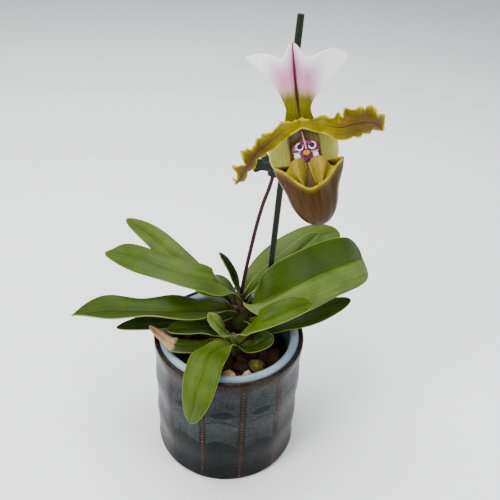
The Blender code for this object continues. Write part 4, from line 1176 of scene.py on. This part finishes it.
def bract(u, v):
    """The small sheath at the foot of the ovary, open at the front."""
    start, top = vectors(STEM_ROUTE[-2:])
    aim = (top - start).normalized()
    back = aim.cross(Vector((1.0, 0.0, 0.0))).normalized()
    back = -back if back.y < 0.0 else back
    radius = 1.9 + 1.5 * smooth(u / 0.6)
    reach = math.radians(118.0) * max(0.06, 1.0 - smooth((u - 0.35) / 0.65) * 0.94)
    angle = v * reach
    around = back.cross(aim) * math.sin(angle) + back * math.cos(angle) * (1.0 + 0.7 * u * u)
    return start + aim * (4.5 + 16.0 * u) + around * radius


def make_stake(groups):
    """The green coated stake with a plain cut end and fine ridges along it."""
    steps = 40
    points = [STAKE_FOOT.lerp(STAKE_TOP, k / steps) for k in range(steps + 1)]
    radii = [STAKE_RADIUS * (1.0 + 0.012 * math.sin(k * 1.9)) for k in range(steps)] + [STAKE_RADIUS * 0.94]
    mesh = tube_mesh("stake", points, radii, 32, lambda share, angle: 1.0 + 0.02 * math.cos(8.0 * angle))
    green = grain_material("stake_green", groups, (0.0018, 0.0040, 0.0010), (0.0065, 0.0125, 0.0032), 0.42,
                           200.0, 1600.0, 0.5, (0.3, 0.0003))
    finish_piece("stake_coated", mesh, [green], ["stake"], "stake")


def clip_loop(place):
    """The oval band round stake and stem, with eased edges."""
    wide, deep = CLIP_LOOP_HALF
    steps = 48
    inner = [(wide * math.cos(math.tau * k / steps), deep * math.sin(math.tau * k / steps)) for k in range(steps)]
    body = bmesh.new()
    rings = []
    for grow, z in [(0.0, -3.4), (0.4, -3.5), (1.1, -3.5), (1.35, -3.1),
                    (1.35, 3.1), (1.1, 3.5), (0.4, 3.5), (0.0, 3.4)]:
        ring = []
        for x, y in inner:
            out = Vector((x / wide ** 2, y / deep ** 2)).normalized() * grow
            ring.append(body.verts.new(place @ Vector((x + out.x, y + out.y, z)) * MM))
        rings.append(ring)
    for low, high in zip(rings, rings[1:] + rings[:1]):
        bridge(body, low, high)
    outward(body)
    return ended(body, "loop", sharp=50)


def clip_grip(matrix):
    """A finger grip: a plate that widens to a round pad, its edges softened."""
    half_thick, edge_round, last = 0.9, 0.4, 27
    outline = []
    for k in range(last + 1):
        t = k / last
        outline.append((12.2 * t, 2.6 + 2.0 * smooth((t - 0.45) / 0.4) - 3.2 * beyond(t, 0.86) ** 2))
    outline += [(x, -y) for x, y in reversed(outline)]
    body = bmesh.new()
    face = body.faces.new([body.verts.new((x, y, -half_thick)) for x, y in outline])
    for part in bmesh.ops.extrude_face_region(body, geom=[face])["geom"]:
        if isinstance(part, bmesh.types.BMVert):
            part.co.z = half_thick
    outward(body)
    edges = [e for e in body.edges if abs(e.verts[0].co.z - e.verts[1].co.z) < 1e-6]
    bmesh.ops.bevel(body, geom=edges, offset=edge_round, segments=3, affect="EDGES", profile=0.5)
    for vertex in body.verts:
        vertex.co = matrix @ vertex.co * MM
    return ended(body, "plate", sharp=40)


def make_clip(groups):
    """The spring clip: a loop round stake and stem, two finger grips with round pads, and a wire spring."""
    share = (CLIP_HEIGHT - STAKE_FOOT.z) / (STAKE_TOP.z - STAKE_FOOT.z)
    centre = (STAKE_FOOT.lerp(STAKE_TOP, share) + Vector((22.0, 19.6, CLIP_HEIGHT))) / 2.0
    place = Matrix.Translation(centre)
    parts = [clip_loop(place)]
    for side in (-1.0, 1.0):
        swing = Matrix.Rotation(math.radians(150.0 + side * 13.0), 4, "Z")
        stand = Matrix.Translation((3.0, side * 1.6, 1.2)) @ Matrix.Rotation(math.radians(90.0), 4, "X")
        parts.append(clip_grip(place @ swing @ stand))
    hinge = place @ Matrix.Translation((-6.9, 3.2, 0.8))
    knuckle = [hinge @ Vector((0, 0, z)) for z in (-2.6, -1.3, 0.0, 1.3, 2.6)]
    parts.append(tube_mesh("knuckle", knuckle, [2.0, 2.2, 2.2, 2.2, 2.0], 24))
    black = grain_material("clip_black", groups, (0.0012, 0.002, 0.0022), (0.006, 0.0095, 0.010), 0.34,
                           240.0, 1500.0, 0.5, (0.25, 0.0003))
    finish_piece("stem_clip_body", merged("clip", parts), [black], ["stem_clip"], "clip")

    radius, round_steps, steps = 2.45, 20, 100
    coil = []
    for k in range(steps + 1):
        angle = math.tau * k / round_steps
        coil.append(hinge @ Vector((radius * math.cos(angle), radius * math.sin(angle), -2.0 + 4.0 * k / steps)))
    w = Paint("clip_spring_steel")
    brush = w.noise(w.here(), 1400.0, 3.0)
    steel = w.done(w.mix(brush, (0.32, 0.34, 0.33), (0.55, 0.56, 0.54)), (brush, 0.3, 0.7, 0.25, 0.4))
    w.shader["Metallic"].default_value = 1.0
    finish_piece("stem_clip_spring", tube_mesh("coil", coil, [0.3] * len(coil), 8), [steel], [], "clip")


# Pots, bark and crowns


def side_radius(z):
    """Outer radius of the cover pot at a height in mm."""
    share = z / POT_HEIGHT
    taper = POT_FOOT_RADIUS + (POT_RIM_RADIUS - POT_FOOT_RADIUS) * share
    band = 0.35 * (math.cos(share * 3.0 * 2.0 * math.pi) - 1.0)
    return taper + band * smooth((1.0 - share) * 8.0)


def panel_shape(point):
    """Presses the wall in a little between the bead rows, as a thrown and pressed cup has."""
    radius = math.hypot(point.x, point.y)
    outer = smooth((radius - PRESSED_FROM) / 0.8)
    if outer == 0.0:
        return point
    turn = math.atan2(point.x, -point.y)
    inset = 0.22 * (1.0 - math.cos((turn - math.radians(BEAD_OFFSET)) * BEAD_ROWS))
    inset *= smooth(point.z / 6.0) * smooth((POT_HEIGHT - 3.0 - point.z) / 6.0)
    scale = (radius + (0.18 * noise.noise(point * 0.05) - inset) * outer) / radius
    return Vector((point.x * scale, point.y * scale, point.z))


def pot_profile():
    """The cover pot in half section: floor, inside, rounded lip, banded outside and rounded foot."""
    inner = POT_LIP_INNER_RADIUS
    middle = (inner + POT_RIM_RADIUS) / 2.0
    profile = [(0.0, POT_FLOOR), (inner - 4.0, POT_FLOOR), (inner - 1.0, POT_FLOOR + 3.0),
               (inner, POT_HEIGHT - 8.0)]
    for k in range(13):
        angle = math.pi * (1.0 - k / 12.0)
        profile.append((middle + math.cos(angle) * POT_LIP_ROUND,
                        POT_HEIGHT - POT_LIP_ROUND + math.sin(angle) * POT_LIP_ROUND))
    count = 90
    for k in range(1, count + 1):
        z = POT_FOOT_ROUND + (POT_HEIGHT - POT_LIP_ROUND - POT_FOOT_ROUND) * (1.0 - k / count)
        profile.append((side_radius(z), z))
    for k in range(1, 7):
        angle = k / 6.0 * math.pi / 2.0
        profile.append((POT_FOOT_RADIUS - POT_FOOT_ROUND * (1.0 - math.cos(angle)) - 0.05,
                        POT_FOOT_ROUND * (1.0 - math.sin(angle))))
    return profile + [(0.0, 0.0)]


def make_pots(groups):
    """Cover pot with bead rows, and the nursery pot whose rolled rim hangs inside its lip."""
    mesh = turned_mesh("cover_pot", pot_profile(), 180, panel_shape)
    finish_piece("cover_pot_glazed", mesh, [glaze_material(groups)], ["cover_pot"], "cover_pot")
    beads = []
    draw = random.Random(21)
    for row in range(BEAD_ROWS):
        turn = math.radians(BEAD_OFFSET + 360.0 * row / BEAD_ROWS)
        z = 4.5
        while z < POT_HEIGHT - 6.0:
            swing = turn + draw.uniform(-0.004, 0.004)
            size = draw.uniform(0.5, 0.78)
            radius = side_radius(z) - 0.4
            centre = Vector((math.sin(swing) * radius, -math.cos(swing) * radius, z))
            beads.append(ball_mesh(centre, (size, size, size * 0.8), rough=0.2, seed=z, detail=(8, 6)))
            z += draw.uniform(2.2, 2.9)
    copper = grain_material("bead_copper", groups, (0.006, 0.003, 0.0015), (0.17, 0.105, 0.060), 0.35,
                            90.0, 900.0, 0.3)
    finish_piece("cover_pot_beads", merged("beads", beads), [copper], [], "cover_pot")
    make_liner(groups)


def make_liner(groups):
    """The nursery pot."""
    foot = POT_FLOOR + 0.3
    centre_r, centre_z = LINER_RIM_RADIUS - LINER_ROLL, LINER_TOP - LINER_ROLL
    profile = [(0.0, foot + LINER_WALL), (LINER_FOOT_RADIUS - LINER_WALL, foot + LINER_WALL),
               (LINER_SHOULDER_RADIUS - LINER_WALL - 1.6, LINER_TOP - 4.0 * LINER_ROLL)]
    for k in range(33):
        angle = math.radians(200.0 - 250.0 * k / 32.0)
        profile.append((centre_r + math.cos(angle) * LINER_ROLL, centre_z + math.sin(angle) * LINER_ROLL))
    profile += [(LINER_SHOULDER_RADIUS - 0.6, LINER_TOP - 3.2 * LINER_ROLL), (LINER_FOOT_RADIUS, foot), (0.0, foot)]
    plastic = grain_material("liner_plastic", groups, (0.15, 0.21, 0.255), (0.24, 0.315, 0.365), 0.34,
                             60.0, 1400.0, 0.3, (0.15, 0.0003))
    mesh = turned_mesh("liner", profile, 160)
    finish_piece("nursery_pot_rolled", mesh, [plastic], ["nursery_pot"], "nursery_pot")


def chip_mesh(draw, centre, size, turn):
    """One rough chunk of bark: a block with split faces and knocked edges, with a tone of its own."""
    body = bmesh.new()
    tone = body.verts.layers.float_vector.new("chip_tone")
    bmesh.ops.create_cube(body, size=1.0)
    bmesh.ops.bevel(body, geom=list(body.edges), offset=0.13, segments=1, affect="EDGES")
    bmesh.ops.subdivide_edges(body, edges=list(body.edges), cuts=1, use_grid_fill=True)
    shade, seed = draw.random(), draw.uniform(0.0, 90.0)
    lean = Matrix.Rotation(draw.uniform(-0.35, 0.35), 3, "X") @ Matrix.Rotation(draw.uniform(-0.35, 0.35), 3, "Y")
    spin = Matrix.Rotation(turn, 3, "Z") @ lean
    # The third draw is unused, and stays so that the later chips keep theirs
    x_skew, y_skew, _ = [draw.uniform(-0.25, 0.25) for _ in range(3)]
    for vertex in body.verts:
        point = vertex.co.copy()
        point.x += x_skew * point.y
        point.y += y_skew * point.z
        point *= 1.0 + 0.28 * noise.noise(point * 2.3 + Vector((seed, 0.0, 0.0)))
        vertex[tone] = (shade, 0.0, 0.0)
        vertex.co = (spin @ scaled(point, size) + centre) * MM
    return ended(body, "chip", soft=False)


def make_bark(groups):
    """The bark bed with loose chunks over it, two pale stones and a mossy lump."""
    draw = random.Random(4)
    floor = BARK_TOP - 0.6
    chips = [turned_mesh("bed", [(0.0, floor), (36.6, floor), (31.4, BARK_FOOT), (0.0, BARK_FOOT)], 64)]
    for ring, count, reach in [(0, 9, 8.0), (1, 17, 17.0), (2, 26, 25.5), (3, 36, 31.5)]:
        for k in range(count):
            angle = math.tau * (k + draw.uniform(-0.3, 0.3)) / count + ring
            radius = reach + draw.uniform(-2.5, 1.5)
            size = (draw.uniform(7.0, 12.5), draw.uniform(5.0, 8.0), draw.uniform(3.2, 5.5))
            lift = BARK_TOP + draw.uniform(-1.8, 1.2)
            centre = Vector((math.cos(angle) * radius, math.sin(angle) * radius, lift))
            swing = draw.uniform(-0.5, 0.5) if ring == 3 else draw.uniform(0.0, math.pi)
            chips.append(chip_mesh(draw, centre, size, angle + math.pi / 2.0 + swing))
    whole = merged("bark", chips)
    whole.set_sharp_from_angle(angle=math.radians(28))
    dark = grain_material("bark_dark", groups, (0.003, 0.0013, 0.0008), (0.030, 0.011, 0.006), 0.75,
                          160.0, 1300.0, 0.5, (0.7, 0.0012), tinted=(0.045, 0.011, 0.005))
    finish_piece("bark_chunks", whole, [dark], ["bark_mix"], "bark")

    tan = grain_material("stone_tan", groups, (0.22, 0.12, 0.045), (0.62, 0.42, 0.21), 0.75,
                         170.0, 1200.0, 0.5, (0.5, 0.0007))
    moss = grain_material("moss_green", groups, (0.010, 0.008, 0.002), (0.15, 0.125, 0.018), 0.9,
                          420.0, 1600.0, 0.5, (0.9, 0.0012))
    for name, centre, size, seed, turn, material, slot in [
        ("pale_stone_left", (1.5, -31.5, 79.5), (4.6, 4.0, 3.6), 2.0, 0.4, tan, "stone"),
        ("pale_stone_right", (12.5, -31.0, 79.0), (5.0, 4.0, 3.8), 5.0, 0.9, tan, "stone"),
        ("mossy_stone", (18.5, -21.5, 80.0), (6.4, 5.4, 4.2), 9.0, 2.1, moss, "moss"),
    ]:
        place = Matrix.Translation(centre) @ Matrix.Rotation(turn, 4, "Z")
        finish_piece(name + "_rough", stone_mesh(size, seed, place), [material], [name], slot)


def stone_mesh(size, seed, place):
    """A broken pebble: a ball cut by flat breaks and roughened."""
    body = bmesh.new()
    bmesh.ops.create_icosphere(body, subdivisions=4, radius=1.0)
    draw = random.Random(int(seed * 10))
    cuts = []
    for _ in range(9):
        facing = Vector([draw.uniform(-1, 1) for _ in range(3)]).normalized()
        cuts.append((facing, draw.uniform(0.66, 0.86)))
    for vertex in body.verts:
        point = vertex.co.copy()
        for facing, depth in cuts:
            point -= facing * max(0.0, point.dot(facing) - depth) * 0.9
        point *= 1.0 + 0.10 * noise.noise(point * 2.2 + Vector((seed, 0, 0))) + 0.03 * noise.noise(point * 9.0)
        vertex.co = place @ scaled(point, size) * MM
    return ended(body, "stone")


def sheath(centre, low, high, facing, radius):
    """An old leaf base that clasps its crown: wrapped most of the way round, its mouth slanting up to one side."""
    def place(u, v):
        angle = facing + v * math.radians(150.0)
        mouth = high - 15.0 * (1.0 - math.cos(v * math.pi * 0.83)) / 2.0
        flare = smooth((u - 0.5) / 0.5) ** 1.5 * math.cos(v * math.pi * 0.5)
        wide = radius * (1.0 - 0.10 * u) + flare + 0.35 * v
        return centre + Vector((math.cos(angle) * wide, math.sin(angle) * wide, low + (mouth - low) * u))

    return place


def make_crowns(groups):
    """The two short stems, wrapped in old leaf bases."""
    skin = crown_material(groups)
    for name, centre, profile in [
        ("crown_main", MAIN_CROWN, [(0.0, 103.4), (1.6, 103.3), (2.6, 102.4), (3.4, 98.0), (4.4, 92.0), (4.6, 84.0),
                                    (4.6, CROWN_FOOT), (0.0, CROWN_FOOT)]),
        ("crown_front", FRONT_CROWN, [(0.0, 90.0), (1.4, 89.9), (2.2, 89.0), (3.2, 84.0), (3.6, 78.0),
                                      (3.6, CROWN_FOOT), (0.0, CROWN_FOOT)]),
    ]:
        fine = []
        for (r0, z0), (r1, z1) in zip(profile, profile[1:]):
            fine += [(r0 + (r1 - r0) * k / 6.0, z0 + (z1 - z0) * k / 6.0) for k in range(6)]
        fine.append(profile[-1])

        def wrapped(point, centre=centre):
            fluting = 1.0 + 0.05 * math.cos(5.0 * math.atan2(point.y, point.x) + point.z * 0.12)
            return Vector((point.x * fluting, point.y * fluting, point.z)) + centre

        finish_piece(name + "_wrapped", turned_mesh(name, fine, 48, wrapped), [skin], [name], "crown")
    for name, centre, low, high, facing, radius in [
        ("crown_sheath_front", MAIN_CROWN, 70.0, 97.0, -112.0, 6.4),
        ("crown_sheath_right", MAIN_CROWN, 74.0, 101.0, 12.0, 5.9),
        ("crown_sheath_left", MAIN_CROWN, 78.0, 104.5, -150.0, 5.2),
        ("front_crown_sheath_right", FRONT_CROWN, 70.0, 83.0, -40.0, 4.8),
        ("front_crown_sheath_left", FRONT_CROWN, 72.0, 87.5, -160.0, 4.2),
    ]:
        wrap = sheath(centre, low, high, math.radians(facing), radius)
        mesh = thin_sheet(name, wrap, 30, 48, 0.8, lambda u, v: (u, v * 8.0, 0.0))
        finish_piece(name, mesh, [skin], [], "crown")


# Stage


def make_stage():
    """Pale floor, soft studio lights and the photograph's camera."""
    grid = bmesh.new()
    bmesh.ops.create_grid(grid, x_segments=2, y_segments=2, size=6.0)
    floor = linked("floor", ended(grid, "floor", soft=False))
    paint = Paint("floor_white")
    paint.feed(paint.shader["Base Color"], (0.95, 0.95, 0.95))
    paint.shader["Roughness"].default_value = 0.9
    floor.data.materials.append(paint.made)

    world = bpy.data.worlds.new("studio")
    world.use_nodes = True
    sky = world.node_tree.nodes["Background"].inputs
    sky["Color"].default_value = (0.93, 0.96, 1.0, 1.0)
    sky["Strength"].default_value = 0.52
    bpy.context.scene.world = world
    for name, spot, target, size, power, colour in [
        ("top_window", (-0.15, 0.25, 1.1), (0, 0, 0.1), 0.9, 20.0, (0.96, 0.98, 1.0)),
        ("key_left", (-0.85, -0.75, 0.75), (0, 0, 0.12), 0.6, 20.0, (1.0, 0.98, 0.95)),
        ("fill_right", (0.9, -0.5, 0.45), (0, 0, 0.12), 0.7, 8.0, (1.0, 0.98, 0.96)),
    ]:
        lamp = bpy.data.lights.new(name, "AREA")
        lamp.size = size
        lamp.energy = power
        lamp.color = colour
        light = linked(name, lamp)
        light.location = spot
        light.rotation_euler = (Vector(target) - Vector(spot)).to_track_quat("-Z", "Y").to_euler()

    pitch, roll = math.radians(33.2), math.radians(-3.03)
    look = Vector((0.0, math.cos(pitch), -math.sin(pitch)))
    upright = Vector((0.0, math.sin(pitch), math.cos(pitch)))
    right, up = turned(Vector((1.0, 0.0, 0.0)), upright, -roll)
    lens = bpy.data.cameras.new("photo_view")
    lens.lens = 43.2
    lens.sensor_width = 36.0
    lens.clip_start = 0.01
    camera = linked("photo_view", lens)
    camera.matrix_world = standing((0.01045, -0.29115, 0.34079), right, up, -look)
    bpy.context.scene.camera = camera


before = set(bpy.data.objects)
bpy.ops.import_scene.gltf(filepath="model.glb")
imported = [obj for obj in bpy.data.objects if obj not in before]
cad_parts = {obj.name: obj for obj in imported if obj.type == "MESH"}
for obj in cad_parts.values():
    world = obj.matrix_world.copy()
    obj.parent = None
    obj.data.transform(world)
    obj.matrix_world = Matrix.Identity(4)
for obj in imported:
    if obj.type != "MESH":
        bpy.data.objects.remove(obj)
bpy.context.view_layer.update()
shared = {"tissue": make_tissue_group(), "spots": make_speckle_group(), "wear": make_wear_group()}
make_stage()
make_pots(shared)
make_bark(shared)
make_crowns(shared)
for number, (leaf_name, leaf_form) in enumerate(LEAVES.items()):
    make_leaf(leaf_name, leaf_form, number * 3.7, shared)
make_stem(shared)
make_stake(shared)
make_clip(shared)
make_bloom(shared)
